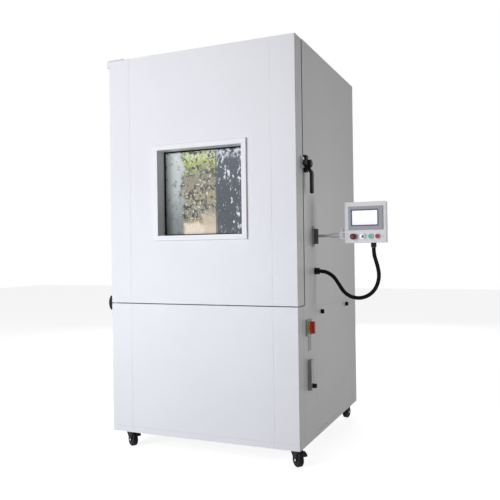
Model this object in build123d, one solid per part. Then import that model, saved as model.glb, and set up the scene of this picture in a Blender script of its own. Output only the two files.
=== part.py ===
# Blown-dust environmental test chamber: an insulated cabinet on castors with a full-width
# windowed door, a dust hopper with its blower below, and a control pendant on a swing arm.
#
# Millimetres, +Z up. The model is drawn with x from the cabinet's centre line, y from the
# door's front face and z from the floor, and each piece is then moved so that the origin
# is the middle of the whole object's footprint, on the floor.
from build123d import *
import math
import os

os.makedirs("parts", exist_ok=True)

# Cabinet
body_width = 1055.0
body_depth = 1100.0
body_height = 1980.0
castor_height = 95.0
lower_height = 682.0  # from the cabinet's underside to the middle of the seam under the door
seam_gap = 5.0
front_panel_depth = 75.0
panel_joint = 1.5  # joint between the front panel and the side casings
sheet = 2.0  # painted casing sheet
flange = 20.0  # folded edges of the casings

# Frame
angle_leg = 40.0
angle_thickness = 4.0
rail_width = 50.0

# Door
door_thickness = 91.0
door_gap = 12.0
door_top_gap = 3.0
door_edge_radius = 4.0
crease_inset = 127.0  # pressed crease lines of the door and front panel, in from each side
crease_width = 3.0
crease_depth = 0.8
plug_depth = 20.0
plug_clearance = 12.0
seal_inset = 10.0
seal_width = 16.0
seal_clearance = 0.4
liner_sheet = 1.5

# Window in the door
window_left = 298.0  # left edge of the opening, in from the left side
window_height = 442.0
window_low = 1034.0  # lower edge of the opening, above the cabinet's underside
window_right = 281.0  # right edge of the opening, in from the right side
trim_border = 26.0
trim_proud = 10.0
trim_wall = 2.0
trim_chamfer = 2.0
glass_recess = 66.0
outer_glass_thickness = 6.0
inner_glass_thickness = 5.0
glass_lap = 4.0
gasket_thickness = 5.0
gasket_shows = 7.0

# Test space, hopper and shelf
side_wall = 102.5  # from the casing's outside to the test space
top_wall = 103.5
rear_wall = 140.0
liner_floor_height = 77.0  # above the deck
hopper_lip = 22.0
hopper_height = 340.0
hopper_outlet = 170.0
heater_thickness = 10.0
shaker_width = 60.0
shaker_radius = 28.0
shaker_length = 110.0
shaker_sink = 3.0
shelf_height = 100.0
shelf_thickness = 14.0
shelf_border = 24.0
shelf_slots = 9
shelf_bar = 14.0
shelf_side_gap = 3.0
rail_leg = 22.0

# Blower and ducts
blower_height = 90.0
collar_radius = 72.0
collar_length = 18.0
scroll_start = 122.0
scroll_end = 212.0
scroll_outlet_length = 250.0
duct_sheet = 2.0
duct_depth = 60.0
nozzle_width = 480.0
nozzle_height = 70.0
nozzle_drop = 60.0
impeller_radius = 100.0
impeller_height = 58.0
impeller_clearance = 12.0
impeller_blades = 10
blade_thickness = 3.0
shaft_radius = 9.0
running_clearance = 0.05
motor_radius = 72.0
motor_flange_radius = 92.0
motor_length = 190.0
leg_size = 30.0

# Vacuum set and electrical plate
pump_length = 220.0
pump_width = 120.0
pump_height = 110.0
filter_radius = 55.0
filter_height = 240.0
control_plate_width = 230.0
control_plate_thickness = 3.0
control_plate_back = 110.0  # behind the frame's front legs
control_plate_gap = 10.0
rail_height = 35.0
rail_depth = 8.0
device_height = 80.0
device_depth = 62.0
nose_height = 34.0
nose_depth = 10.0
pump_setback = 40.0
pump_inset = 260.0  # pump's middle from the frame's left side

# Door hinge: a lift-off barrel hinge at the seam and a bracket with a pin on the roof
hinge_out = 9.0  # axis outside the left face
hinge_back = 14.0  # axis behind the door's front face
hinge_radius = 16.5
hinge_tip_radius = 5.0
hinge_half_length = 38.0
hinge_pin_radius = 5.0
hinge_pin_length = 24.0
hinge_gap = 1.0
roof_bracket_thickness = 5.0
roof_ear_radius = 10.0
roof_ear_height = 30.0

# Latch on the right side
latch_height = 1372.0  # above the cabinet's underside
latch_setback = 19.0  # pivot behind the cabinet's front edge
latch_base_width = 34.0
latch_base_height = 84.0
latch_base_thickness = 16.0
latch_boss_radius = 13.0
latch_hub_radius = 20.0
latch_hub_length = 18.0
latch_tongue_width = 20.0
latch_tongue_thickness = 9.0
latch_arm_width = 20.0
latch_arm_thickness = 15.0
latch_arm_length = 146.0
latch_arm_offset = 12.0
keeper_width = 34.0
keeper_height = 61.0
keeper_thickness = 12.0
latch_clearance = 0.6

# Pendant, its arm and bracket
arm_height = 1021.0  # arm's centre line above the cabinet's underside
arm_setback = 245.0
arm_axis_out = 17.0
arm_barrel_radius = 11.0
arm_barrel_length = 60.0
arm_bar = 13.0
arm_sleeve = 22.0
arm_sleeve_share = 0.55
arm_eye_radius = 13.0
arm_eye_height = 25.0
eye_clearance = 0.4
ear_thickness = 5.0
arm_pin_radius = 5.0
pendant_axis_out = 151.0
bracket_plate_width = 32.0
bracket_plate_height = 104.0
bracket_plate_thickness = 4.0
bracket_lug_thickness = 8.0
bracket_drop = 32.0
pendant_width = 200.0
pendant_height = 200.0
pendant_depth = 50.0
pendant_low = 982.0  # above the cabinet's underside
pendant_wall = 2.0
pendant_edge_radius = 3.0
pendant_bridge = 21.0  # from the pivot axis to the box
bezel_width = 170.0
bezel_height = 115.0
bezel_left = 18.0
bezel_low = 63.0
bezel_proud = 5.0
screen_width = 123.0
screen_height = 69.0
screen_left = 20.0
screen_low = 25.0
screen_thickness = 3.0
clamp_knob_radius = 8.0
clamp_knob_height = 16.0

# Buttons on the pendant, from its left edge, and their common height above its lower edge
button_row = 31.0
stop_place = 43.0
key_place = 87.0
green_place = 127.0
red_place = 161.0
button_hole = 11.0
collar_rim = 3.5
collar_proud = 3.0
button_radius = 10.6
button_proud = 8.0
mushroom_radius = 15.0
mushroom_height = 12.0
mushroom_stand = 12.0
button_body_length = 26.0
button_travel = 3.0
stop_travel = 5.0

# Fittings on the right side, from the cabinet's underside and the door's front face
isolator_drop = 112.0  # below the seam under the door
isolator_setback = 145.0
isolator_size = 80.0
isolator_thickness = 9.0
isolator_ring_radius = 34.0
isolator_ring_height = 4.0
isolator_hub_radius = 20.0
isolator_hub_height = 8.0
isolator_grip_length = 60.0
isolator_grip_width = 13.0
isolator_grip_height = 14.0
meter_low = 262.0
meter_setback = 150.0
meter_height = 150.0
meter_width = 46.0
meter_depth = 20.0
meter_tube_radius = 7.0
meter_knob_radius = 11.0
meter_knob_length = 18.0
meter_knob_height = 22.0
service_front = 272.0
service_end = 140.0  # service panel's rear edge, in from the cabinet's rear
service_top = 655.0
service_low = 25.0
service_gap = 1.5
service_lap = 12.0
knob_row = 26.0  # below the service panel's top edge
knob_inset = 95.0
knob_radius = 12.0
knob_flange_height = 3.0
knob_grip_height = 13.0
knob_grip_width = 6.0
knob_stem_radius = 4.0

# Cable entries
conduit_radius = 10.0
gland_setback = 270.0
gland_drop = 178.0  # below the arm's centre line
gland_length = 24.0
gland_nut_radius = 16.5
gland_socket = 14.0
gland_slip = 0.3
pendant_gland_place = 136.0  # from the pendant's left edge
pendant_gland_length = 22.0
pendant_nut_radius = 13.5
port_radius = 25.0
port_wall = 3.0
port_flange_radius = 38.0
port_flange_thickness = 4.0
port_height = 1390.0
port_setback = 540.0
mains_radius = 9.0
mains_gland_length = 24.0
mains_inset = 140.0
mains_height = 110.0

# Rear panels
rear_split = 700.0
louvre_count = 7
louvre_length = 300.0
louvre_height = 8.0
louvre_pitch = 26.0
louvre_low = 330.0
louvre_hood = 8.0

# Castors
wheel_radius = 35.0
wheel_width = 26.0
castor_side_inset = 54.0
castor_end_inset = 85.0
castor_trail = 26.0
castor_plate_size = 66.0
castor_plate_thickness = 3.0
race_radius = 22.0
race_height = 8.0
crown_radius = 25.0
crown_thickness = 5.0
kingpin_radius = 5.0
kingpin_past = 3.0
axle_radius = 4.0
fork_sheet = 3.0
hub_clearance = 0.3
pedal_pin_out = 36.0
pedal_pin_drop = 7.5
pedal_pin_radius = 3.0
pedal_reach = 78.0
pedal_width = 34.0
pedal_thickness = 5.0

# Planes that follow from the sizes above
half_width = body_width / 2
window_width = body_width - window_left - window_right
service_rear = body_depth - service_end
isolator_height = lower_height - isolator_drop
body_low = castor_height
body_top = castor_height + body_height
seam_z = body_low + lower_height
deck_top = seam_z - seam_gap / 2
door_low = seam_z + seam_gap / 2
door_top = body_top - door_top_gap
body_front = door_thickness + door_gap
lower_front = front_panel_depth + panel_joint
casing_inside = half_width - sheet
frame_half = casing_inside - sheet
rear_inside = body_depth - 2 * sheet
top_inside = body_top - 2 * sheet
liner_front = body_front + sheet
liner_back = body_depth - rear_wall
liner_floor = deck_top + liner_floor_height
liner_top = body_top - top_wall
liner_mid = (liner_front + liner_back) / 2
liner_half = half_width - side_wall
liner_depth = liner_back - liner_front
hopper_half = min(liner_half, liner_depth / 2) - hopper_lip
shelf_low = liner_floor + shelf_height
hopper_top = liner_floor - liner_sheet
hopper_low = hopper_top - hopper_height
blower_top = hopper_low - collar_length
blower_low = blower_top - blower_height
floor_top = body_low + angle_thickness + sheet
duct_front = liner_back + liner_sheet
duct_back = duct_front + duct_depth
hinge_x = -half_width - hinge_out
window_x = half_width - window_right - window_width / 2
window_z = body_low + window_low + window_height / 2
glass_front = glass_recess
outer_glass_back = glass_front + outer_glass_thickness
plug_back = door_thickness + plug_depth
inner_glass_back = plug_back - liner_sheet
inner_glass_front = inner_glass_back - inner_glass_thickness
latch_z = body_low + latch_height
latch_y = body_front + latch_setback
arm_z = body_low + arm_height
pendant_z = body_low + pendant_low
pendant_left = half_width + pendant_axis_out + pendant_bridge
pendant_front = arm_setback - pendant_depth / 2
button_z = pendant_z + button_row
reach_left = hinge_out + hinge_radius
reach_right = pendant_left + pendant_width - half_width
reach_rear = mains_gland_length
origin_x = (reach_right - reach_left) / 2
origin_y = (body_depth + reach_rear - trim_proud) / 2
castor_x = half_width - castor_side_inset
castor_front = castor_end_inset
castor_rear = body_depth - castor_end_inset

# Each castor's place and the way it trails, in degrees from +X
castors = {
    "front_left": (-castor_x, castor_front, -30.0),
    "front_right": (castor_x, castor_front, -40.0),
    "rear_left": (-castor_x, castor_rear, 65.0),
    "rear_right": (castor_x, castor_rear, 80.0),
}
braked_castors = ("front_left", "front_right")

# Conduit's centre line, from the side gland to the pendant's gland: x out from the right
# side, y back from the door's front and z above the cabinet's underside
conduit_start = (gland_length - gland_socket, gland_setback, arm_height - gland_drop)
conduit_points = [
    (44, 270, 843),
    (76.5, 269.5, 831.6),
    (104, 268, 809.5),
    (125, 266.5, 777.5),
    (146.5, 265, 744.5),
    (174, 262.5, 721),
    (212, 260, 709.5),
    (248, 257.5, 711.5),
    (282.6, 255, 726.5),
    (310.5, 252.5, 754),
    (326, 250, 788),
    (332, 248, 822),
    (328, 246.5, 856),
    (319, 245.5, 891),
    (308, 245, 926),
]
conduit_end_z = pendant_low - pendant_gland_length - gland_slip
conduit_end = (pendant_axis_out + pendant_bridge + pendant_gland_place, arm_setback, conduit_end_z)

BASE = (Align.CENTER, Align.CENTER, Align.MIN)
TURN = {"x": Rot(0, 90, 0), "y": Rot(-90, 0, 0), "z": Rot(0, 0, 0)}


def save(node, shape):
    """Writes one piece in the object's own frame."""
    moved = Pos(-origin_x, -origin_y, 0) * shape
    export_step(moved, f"parts/{node}.step")


def block(x, y, z):
    """Box from three (low, high) pairs."""
    middle = [(low + high) / 2 for low, high in (x, y, z)]
    return Pos(*middle) * Box(*[high - low for low, high in (x, y, z)])


def rod(radius, start, axis, length):
    """Cylinder from a start point along an axis."""
    return Pos(*start) * TURN[axis] * Cylinder(radius, length, align=BASE)


def tube(outer, inner, start, axis, length):
    """Round tube from a start point along an axis."""
    return rod(outer, start, axis, length) - rod(inner, start, axis, length)


def around(middle, size):
    """(low, high) of a size about its middle."""
    return (middle - size / 2, middle + size / 2)


def grown(span, by):
    """A (low, high) pair with both ends moved out."""
    return (span[0] - by, span[1] + by)


def frame_ring(x, y, z, border_x, border_z):
    """Flat rectangular ring that stands in the XZ plane."""
    hole = block(grown(x, -border_x), grown(y, 1), grown(z, -border_z))
    return block(x, y, z) - hole


def strips(across, up, hole_across, hole_up):
    """The four pairs of spans that surround a rectangular hole."""
    return [
        (across, (up[0], hole_up[0])),
        (across, (hole_up[1], up[1])),
        ((across[0], hole_across[0]), hole_up),
        ((hole_across[1], across[1]), hole_up),
    ]


def slabs_xz(x, y, z, hole_x, hole_z):
    """Plate in the XZ plane with a rectangular hole, as four slabs."""
    return [block(a, y, b) for a, b in strips(x, z, hole_x, hole_z)]


def slabs_yz(x, y, z, hole_y, hole_z):
    """Plate in the YZ plane with a rectangular hole, as four slabs."""
    return [block(x, a, b) for a, b in strips(y, z, hole_y, hole_z)]


def slabs_xy(x, y, z, hole_x, hole_y):
    """Plate in the XY plane with a rectangular hole, as four slabs."""
    return [block(a, b, z) for a, b in strips(x, y, hole_x, hole_y)]


def bars(x, y, z, border):
    """Rectangular ring in the XZ plane, as four bars."""
    return slabs_xz(x, y, z, grown(x, -border), grown(z, -border))


def pyramid(grow=0.0):
    """Inverted square pyramid inside the hopper, grown outward by a distance."""
    taper = math.degrees(math.atan((hopper_half - hopper_outlet / 2) / hopper_height))
    side = 2 * (hopper_half + grow)
    down = Plane((0, liner_mid, hopper_top), x_dir=(1, 0, 0), z_dir=(0, 0, -1))
    return extrude(down * Rectangle(side, side), hopper_height, taper=taper)


def extruded_yz(points, x_low, x_high):
    """Prism with an outline of (y, z) points, from one x to another."""
    face = make_face(Polyline(*points, close=True))
    return Pos(x_low, 0, 0) * extrude(Plane.YZ * face, x_high - x_low)


def hopper_reach(z):
    """Half the inside width of the hopper at a height."""
    share = (z - hopper_low) / hopper_height
    return hopper_outlet / 2 + (hopper_half - hopper_outlet / 2) * share


def hopper_prism(grow, reach):
    """Prism along X with the hopper's outline, grown outward, as far as a reach each way."""
    top = hopper_reach(hopper_top) + grow
    low = hopper_reach(hopper_low) + grow
    outline = [
        (liner_mid - top, hopper_top),
        (liner_mid + top, hopper_top),
        (liner_mid + low, hopper_low),
        (liner_mid - low, hopper_low),
    ]
    return extruded_yz(outline, -reach, reach)


def round_the_hopper(x, y, z, grow):
    """Plate around the hopper, as four slabs with slanted edges."""
    prism = hopper_prism(grow, casing_inside)
    front = block(x, (y[0], liner_mid), z) - prism
    back = block(x, (liner_mid, y[1]), z) - prism
    between = block(x, grown(y, 1), z) & prism
    sides = between - pyramid(grow)
    return [front, back, *sides.solids()]


def around_port(x, y, z):
    """Slabs of the left wall, and the square in it that has the cable port's hole."""
    reach = 2 * (port_radius + port_wall + 12)
    hole_y = around(port_setback, reach)
    hole_z = around(body_low + port_height, reach)
    return [*slabs_yz(x, y, z, hole_y, hole_z), block(x, hole_y, hole_z) - port_sleeve_hole(1)]


# Frame and casings


def angle_ring(x, y, z, flat_z):
    """Level ring of angle bars, each as its flat leg and its upright leg."""
    inner_x = grown(x, -angle_thickness)
    inner_y = grown(y, -angle_thickness)
    flat = slabs_xy(x, y, flat_z, grown(x, -angle_leg), grown(y, -angle_leg))
    return flat + slabs_xy(x, y, z, inner_x, inner_y)


def base_frame():
    """Welded angle frame of the machine compartment with its floor and deck sheets and castor plates."""
    x = (-frame_half, frame_half)
    y = (lower_front + sheet, rear_inside)
    low = body_low
    high = deck_top - sheet
    frame = angle_ring(x, y, (low + angle_thickness, low + angle_leg), (low, low + angle_thickness))
    frame += angle_ring(x, y, (high - angle_leg, high - angle_thickness), (high - angle_thickness, high))
    post_z = (low + angle_leg, high - angle_leg)
    for side in (-1, 1):
        wide_x = sorted((side * frame_half, side * (frame_half - angle_leg)))
        thin_x = sorted((side * frame_half, side * (frame_half - angle_thickness)))
        for back in (False, True):
            thin_y = (y[1] - angle_thickness, y[1]) if back else (y[0], y[0] + angle_thickness)
            rest_y = (y[1] - angle_leg, thin_y[0]) if back else (thin_y[1], y[0] + angle_leg)
            frame.append(block(wide_x, thin_y, post_z))
            frame.append(block(thin_x, rest_y, post_z))
    floor_x = grown(x, -angle_thickness)
    floor_y = grown(y, -angle_thickness)
    frame.append(block(floor_x, floor_y, (low + angle_thickness, floor_top)))
    for rail_y in around(liner_mid, 2 * scroll_start):
        frame.append(block(floor_x, around(rail_y, rail_width), (floor_top, floor_top + sheet * 2)))
    deck_z = (high, deck_top)
    frame += round_the_hopper(x, (y[0], duct_front), deck_z, 2 * sheet)
    duct_x = (scroll_start - duct_sheet, scroll_end)
    frame.append(block((x[0], duct_x[0]), (duct_front, duct_back), deck_z))
    frame.append(block((duct_x[1], x[1]), (duct_front, duct_back), deck_z))
    frame.append(block(x, (duct_back, y[1]), deck_z))
    for castor_at_x, castor_at_y, _ in castors.values():
        frame += castor_plate(castor_at_x, castor_at_y)
    return Compound(frame)


def castor_plate(x, y):
    """Top plate of a castor, its ball race and its kingpin."""
    plate_low = castor_height - castor_plate_thickness
    race_low = plate_low - race_height
    pin_low = race_low - crown_thickness - kingpin_past
    plate = block(around(x, castor_plate_size), around(y, castor_plate_size), (plate_low, castor_height))
    race = rod(race_radius, (x, y, race_low), "z", race_height)
    return [plate, race, rod(kingpin_radius, (x, y, pin_low), "z", race_low - pin_low)]


def casing_flanges(side):
    """Rear and top flanges of a side casing."""
    lip_x = sorted((side * casing_inside, side * (casing_inside - flange)))
    rear = block(lip_x, (rear_inside, body_depth - sheet), (body_low + sheet, top_inside + sheet))
    return [rear, block(lip_x, (body_front, rear_inside), (top_inside, top_inside + sheet))]


def left_casing():
    """Left side casing with its flanges and the hole of the cable port."""
    x = (-half_width, -casing_inside)
    lower = block(x, (lower_front, body_depth), (body_low, deck_top))
    upper = around_port(x, (body_front, body_depth), (deck_top, body_top))
    return Compound([lower, *upper, *casing_flanges(-1)])


def right_casing():
    """Right side casing with the service opening, its seat, and the holes of the fittings."""
    x = (casing_inside, half_width)
    opening_y = grown((service_front, service_rear), service_gap)
    opening_z = grown((body_low + service_low, body_low + service_top), service_gap)
    lower = slabs_yz(x, (lower_front, body_depth), (body_low, deck_top), opening_y, opening_z)
    hole = rod(isolator_neck_radius(), (casing_inside - 1, isolator_setback, isolator_z()), "x", sheet + 2)
    lower[2] -= hole
    gland_z = body_low + arm_height - gland_drop
    upper = block(x, (body_front, body_depth), (deck_top, body_top))
    upper -= rod(conduit_radius, (casing_inside - 1, gland_setback, gland_z), "x", sheet + 2)
    seat_x = (casing_inside - sheet, casing_inside)
    lap_y = grown(opening_y, service_lap)
    lap_z = grown(opening_z, service_lap)
    seat = slabs_yz(seat_x, lap_y, lap_z, grown(opening_y, -service_lap), grown(opening_z, -service_lap))
    return Compound([*lower, upper, *seat, *casing_flanges(1)])


def isolator_z():
    """Height of the isolator's shaft above the floor."""
    return body_low + isolator_height


def isolator_neck_radius():
    """Radius of the isolator's neck where it passes the casing."""
    return isolator_hub_radius * 0.6


def roof_panel():
    """Roof sheet with the welded upper hinge bracket and its pin."""
    roof = block((-casing_inside, casing_inside), (body_front, body_depth), (body_top - sheet, body_top))
    plate_z = (body_top, body_top + roof_bracket_thickness)
    plate = block((hinge_x, hinge_x + 90), (hinge_back - roof_ear_radius, body_front + 60), plate_z)
    plate += rod(roof_ear_radius, (hinge_x, hinge_back, plate_z[0]), "z", roof_bracket_thickness)
    plate += block((hinge_x - roof_ear_radius, hinge_x), (hinge_back, hinge_back + 30), plate_z)
    pin = rod(hinge_pin_radius, (hinge_x, hinge_back, body_top - hinge_pin_length), "z", hinge_pin_length)
    return roof + plate + pin


def rear_panel():
    """Upper rear sheet behind the test space."""
    split = body_low + rear_split
    return block((-casing_inside, casing_inside), (body_depth - sheet, body_depth), (split, body_top - sheet))


def rear_service_panel():
    """Lower rear sheet with a bank of louvres on each side and the mains inlet's hole."""
    x = (-casing_inside, casing_inside)
    y = (body_depth - sheet, body_depth)
    z = (body_low + sheet, body_low + rear_split - panel_joint)
    first = body_low + louvre_low
    last = first + (louvre_count - 1) * louvre_pitch + louvre_height
    inlet = (half_width - mains_inset, y[0] - 1, body_low + mains_height)
    below = block(x, y, (z[0], first)) - rod(mains_radius + 3, inlet, "y", sheet + 2)
    panel = [below, block(x, y, (last, z[1]))]
    slots = [around(bank * liner_half / 2, louvre_length) for bank in (-1, 1)]
    for column in ((x[0], slots[0][0]), (slots[0][1], slots[1][0]), (slots[1][1], x[1])):
        panel.append(block(column, y, (first, last)))
    for slot_x in slots:
        for row in range(louvre_count):
            top = first + row * louvre_pitch + louvre_height
            if row < louvre_count - 1:
                panel.append(block(slot_x, y, (top, top + louvre_pitch - louvre_height)))
            panel.append(block(slot_x, (y[0] - louvre_hood, y[0]), (top, top + sheet)))
    return Compound(panel)


def creased(panel, z):
    """The panel with two shallow pressed crease lines down its front."""
    for side in (-1, 1):
        line_x = around(side * (half_width - crease_inset), crease_width)
        panel -= block(line_x, (-1, crease_depth), grown(z, 1))
    return panel


def front_panel():
    """Lower front pan with its side returns, rear flanges and pressed crease lines."""
    x = (-half_width, half_width)
    y = (0, front_panel_depth)
    z = (body_low, deck_top)
    face, *returns = pan(x, y, z)
    flanges = bars(grown(x, -sheet), (y[1] - sheet, y[1]), grown(z, -sheet), flange)
    returns = [piece - block(grown(x, -sheet), (y[1] - sheet, y[1] + 1), grown(z, -sheet)) for piece in returns]
    return Compound([face, *returns, *flanges])


def pan(x, y, z):
    """Sheet pan, open at the back: its creased face, then its four returns."""
    shell = block(x, y, z)
    uprights = shell.edges().filter_by(Axis.Z).filter_by_position(Axis.Y, y[0] - 0.1, y[0] + 0.1)
    shell = fillet(uprights, door_edge_radius)
    back_y = (y[0] + sheet, y[1])
    inner_x = grown(x, -sheet)
    face = creased(shell & block(grown(x, 1), (y[0] - 1, back_y[0]), grown(z, 1)), z)
    sides = [shell & block(side, back_y, grown(z, 1)) for side in ((x[0], inner_x[0]), (inner_x[1], x[1]))]
    ends = [block(inner_x, back_y, end) for end in ((z[0], z[0] + sheet), (z[1] - sheet, z[1]))]
    return [face, *sides, *ends]


def side_service_panel():
    """Lift-off panel of the right side, held by two quarter-turn knobs."""
    panel = block((casing_inside, half_width), (service_front, service_rear), (body_low + service_low, body_low + service_top))
    for knob_y in knob_places():
        panel -= rod(knob_stem_radius + running_clearance, (casing_inside - 1, knob_y, knob_z()), "x", sheet + 2)
    return panel


def knob_places():
    """Distances of the two panel knobs behind the door's front face."""
    return (service_front + knob_inset, service_rear - knob_inset)


def knob_z():
    """Height of the panel knobs above the floor."""
    return body_low + service_top - knob_row


def throat_frame():
    """Painted face frame around the mouth of the test space."""
    x = (-casing_inside, casing_inside)
    y = (body_front, body_front + sheet)
    z = (deck_top, body_top - 2 * sheet)
    return Compound(slabs_xz(x, y, z, (-liner_half, liner_half), (liner_floor, liner_top)))


def door_seal():
    """Silicone seal ring on the face frame."""
    x = (-half_width + seal_inset, half_width - seal_inset)
    z = (door_low + seal_inset, door_top - seal_inset)
    y = (door_thickness + seal_clearance, body_front)
    return frame_ring(x, y, z, seal_width, seal_width)


# Test space


def nozzle_z():
    """(low, high) of the air nozzle in the rear wall."""
    return (liner_top - nozzle_drop - nozzle_height, liner_top - nozzle_drop)


def port_sleeve_hole(length_past):
    """Cylinder that clears the cable port's sleeve through the left wall."""
    start = (-half_width - length_past, port_setback, body_low + port_height)
    return rod(port_radius + port_wall, start, "x", half_width - liner_half + liner_sheet + 2 * length_past)


def chamber_liner():
    """Stainless inner tank, open at the front, with the shelf rails welded on."""
    x = grown((-liner_half, liner_half), liner_sheet)
    y = (liner_front, liner_back)
    z = (liner_floor, liner_top)
    rear_y = (liner_back, liner_back + liner_sheet)
    mouth = around(0, 2 * hopper_half)
    mouth_y = around(liner_mid, 2 * hopper_half)
    liner = slabs_xy(x, (y[0], rear_y[1]), (z[0] - liner_sheet, z[0]), mouth, mouth_y)
    liner.append(block(x, (y[0], rear_y[1]), (z[1], z[1] + liner_sheet)))
    liner += around_port((x[0], -liner_half), y, z)
    liner.append(block((liner_half, x[1]), y, z))
    liner += slabs_xz(x, rear_y, z, around(0, nozzle_width), nozzle_z())
    for side in (-1, 1):
        web_x = sorted((side * liner_half, side * (liner_half - liner_sheet)))
        leg_x = sorted((side * liner_half, side * (liner_half - rail_leg)))
        rail_y = (liner_front + hopper_lip, liner_back)
        liner.append(block(web_x, rail_y, (shelf_low - rail_leg, shelf_low - liner_sheet)))
        liner.append(block(leg_x, rail_y, (shelf_low - liner_sheet, shelf_low)))
    return Compound(liner)


def insulation():
    """Slabs of mineral wool between the liner and the casings."""
    x = (-casing_inside, casing_inside)
    y = (liner_front, rear_inside)
    inner_x = grown((-liner_half, liner_half), liner_sheet)
    top = liner_top + liner_sheet
    bottom = liner_floor - liner_sheet
    slabs = [block(x, y, (top, top_inside))]
    slabs += around_port((x[0], inner_x[0]), y, (deck_top, top))
    slabs.append(block((inner_x[1], x[1]), y, (deck_top, top)))
    slabs += round_the_hopper(inner_x, (y[0], duct_front), (deck_top, bottom), 2 * sheet)
    slabs.append(block(inner_x, (duct_back, y[1]), (deck_top, top)))
    layer = (duct_front, duct_back)
    nozzle = grown(nozzle_z(), duct_sheet)
    nozzle_x = grown(around(0, nozzle_width), duct_sheet)
    slabs.append(block(inner_x, layer, (nozzle[1], top)))
    slabs.append(block((inner_x[0], nozzle_x[0]), layer, nozzle))
    slabs.append(block((nozzle_x[1], inner_x[1]), layer, nozzle))
    slabs.append(block((inner_x[0], scroll_start - duct_sheet), layer, (deck_top, nozzle[0])))
    slabs.append(block((scroll_end, inner_x[1]), layer, (deck_top, nozzle[0])))
    return Compound(slabs)


def specimen_shelf():
    """Slotted stainless shelf that rests on the rails."""
    x = grown((-liner_half, liner_half), -shelf_side_gap)
    y = (liner_front + hopper_lip, liner_back - shelf_side_gap)
    z = (shelf_low, shelf_low + shelf_thickness)
    inner_x = grown(x, -shelf_border)
    inner_y = grown(y, -shelf_border)
    pitch = (inner_x[1] - inner_x[0] + shelf_bar) / shelf_slots
    middle = (y[0] + y[1]) / 2
    cross = around(middle, shelf_border)
    shelf = slabs_xy(x, y, z, inner_x, inner_y)
    shelf.append(block(inner_x, cross, z))
    for row in ((inner_y[0], cross[0]), (cross[1], inner_y[1])):
        for column in range(1, shelf_slots):
            low = inner_x[0] + column * pitch - shelf_bar
            shelf.append(block((low, low + shelf_bar), row, z))
    return Compound(shelf)


def dust_hopper():
    """Pyramid hopper with its outlet collar, two heater pads and a vibrator on its slopes."""
    outer = pyramid(sheet)
    prism = hopper_prism(0, liner_half)
    walls = [*(outer - prism).solids(), *((outer & prism) - pyramid()).solids()]
    plate_half = hopper_outlet + 2 * sheet
    plate = block(around(0, plate_half), around(liner_mid, plate_half), (hopper_low - sheet, hopper_low))
    plate += rod(collar_radius + sheet, (0, liner_mid, blower_top), "z", collar_length)
    plate -= rod(collar_radius, (0, liner_mid, blower_top - 1), "z", collar_length + 2)
    pad_z = (hopper_low + hopper_height * 0.3, hopper_low + hopper_height * 0.55)
    skin = pyramid(sheet + heater_thickness) - pyramid(sheet)
    pads = skin & block((-liner_half, liner_half), around(liner_mid, hopper_outlet), pad_z)
    shaker = skin & block(around(0, shaker_width), (liner_front, liner_mid), pad_z)
    place = shaker.center()
    out = math.atan(hopper_height / (hopper_half - hopper_outlet / 2))
    reach = heater_thickness / 2 * math.sin(out) + shaker_radius - shaker_sink
    middle = (-shaker_length / 2, place.Y - reach * math.sin(out), place.Z - reach * math.cos(out))
    shaker += rod(shaker_radius, middle, "x", shaker_length)
    return Compound([*walls, plate, *pads.solids(), *shaker.solids()])


# Blower


def scroll_face(wall):
    """Spiral outline of the blower, with its walls moved in."""
    grow = (scroll_end - scroll_start) / 4
    radii = [scroll_start + quarter * grow - wall for quarter in range(5)]
    start = (radii[0], 0)
    arcs = []
    for quarter in range(4):
        middle_radius = (radii[quarter] + radii[quarter + 1]) / 2
        middle = math.radians(90 * quarter + 45)
        end = math.radians(90 * quarter + 90)
        via = (middle_radius * math.cos(middle), middle_radius * math.sin(middle))
        stop = (radii[quarter + 1] * math.cos(end), radii[quarter + 1] * math.sin(end))
        arcs.append(ThreePointArc(start, via, stop))
        start = stop
    return make_face(Curve() + arcs + Line(start, (radii[0], 0)))


def scroll_solid(low, high, wall):
    """Solid of the spiral and its outlet between two heights."""
    spiral = Pos(0, liner_mid, low) * extrude(scroll_face(wall), high - low)
    outlet_x = (scroll_start - duct_sheet + wall, scroll_end - wall)
    past = wall if wall else 0
    return spiral + block(outlet_x, (liner_mid, liner_mid + scroll_outlet_length + past), (low, high))


def blower_housing():
    """Spiral blower housing on four legs, and the riser duct with its wide nozzle."""
    inner = (blower_low + duct_sheet, blower_top - duct_sheet)
    floor = scroll_solid(blower_low, inner[0], 0)
    floor -= rod(shaft_radius + 6, (0, liner_mid, blower_low - 1), "z", duct_sheet + 2)
    lid = scroll_solid(inner[1], blower_top, 0)
    lid -= rod(collar_radius, (0, liner_mid, inner[1] - 1), "z", duct_sheet + 2)
    wall = scroll_solid(*inner, 0) - scroll_solid(inner[0] - 1, inner[1] + 1, duct_sheet)
    far = scroll_end + 1
    quarters = []
    for x in ((-far, 0), (0, far)):
        for y in ((liner_mid - far, liner_mid), (liner_mid, liner_mid + scroll_outlet_length)):
            quarters += (wall & block(x, y, grown(inner, 1))).solids()
    legs = []
    for leg_x in (-scroll_start, scroll_start):
        for leg_y in around(liner_mid, 2 * scroll_start):
            leg_z = (floor_top + 2 * sheet, blower_low)
            legs.append(block(around(leg_x, leg_size), around(leg_y, leg_size), leg_z))
    return Compound([floor, lid, *quarters, *legs, *riser_duct()])


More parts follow.
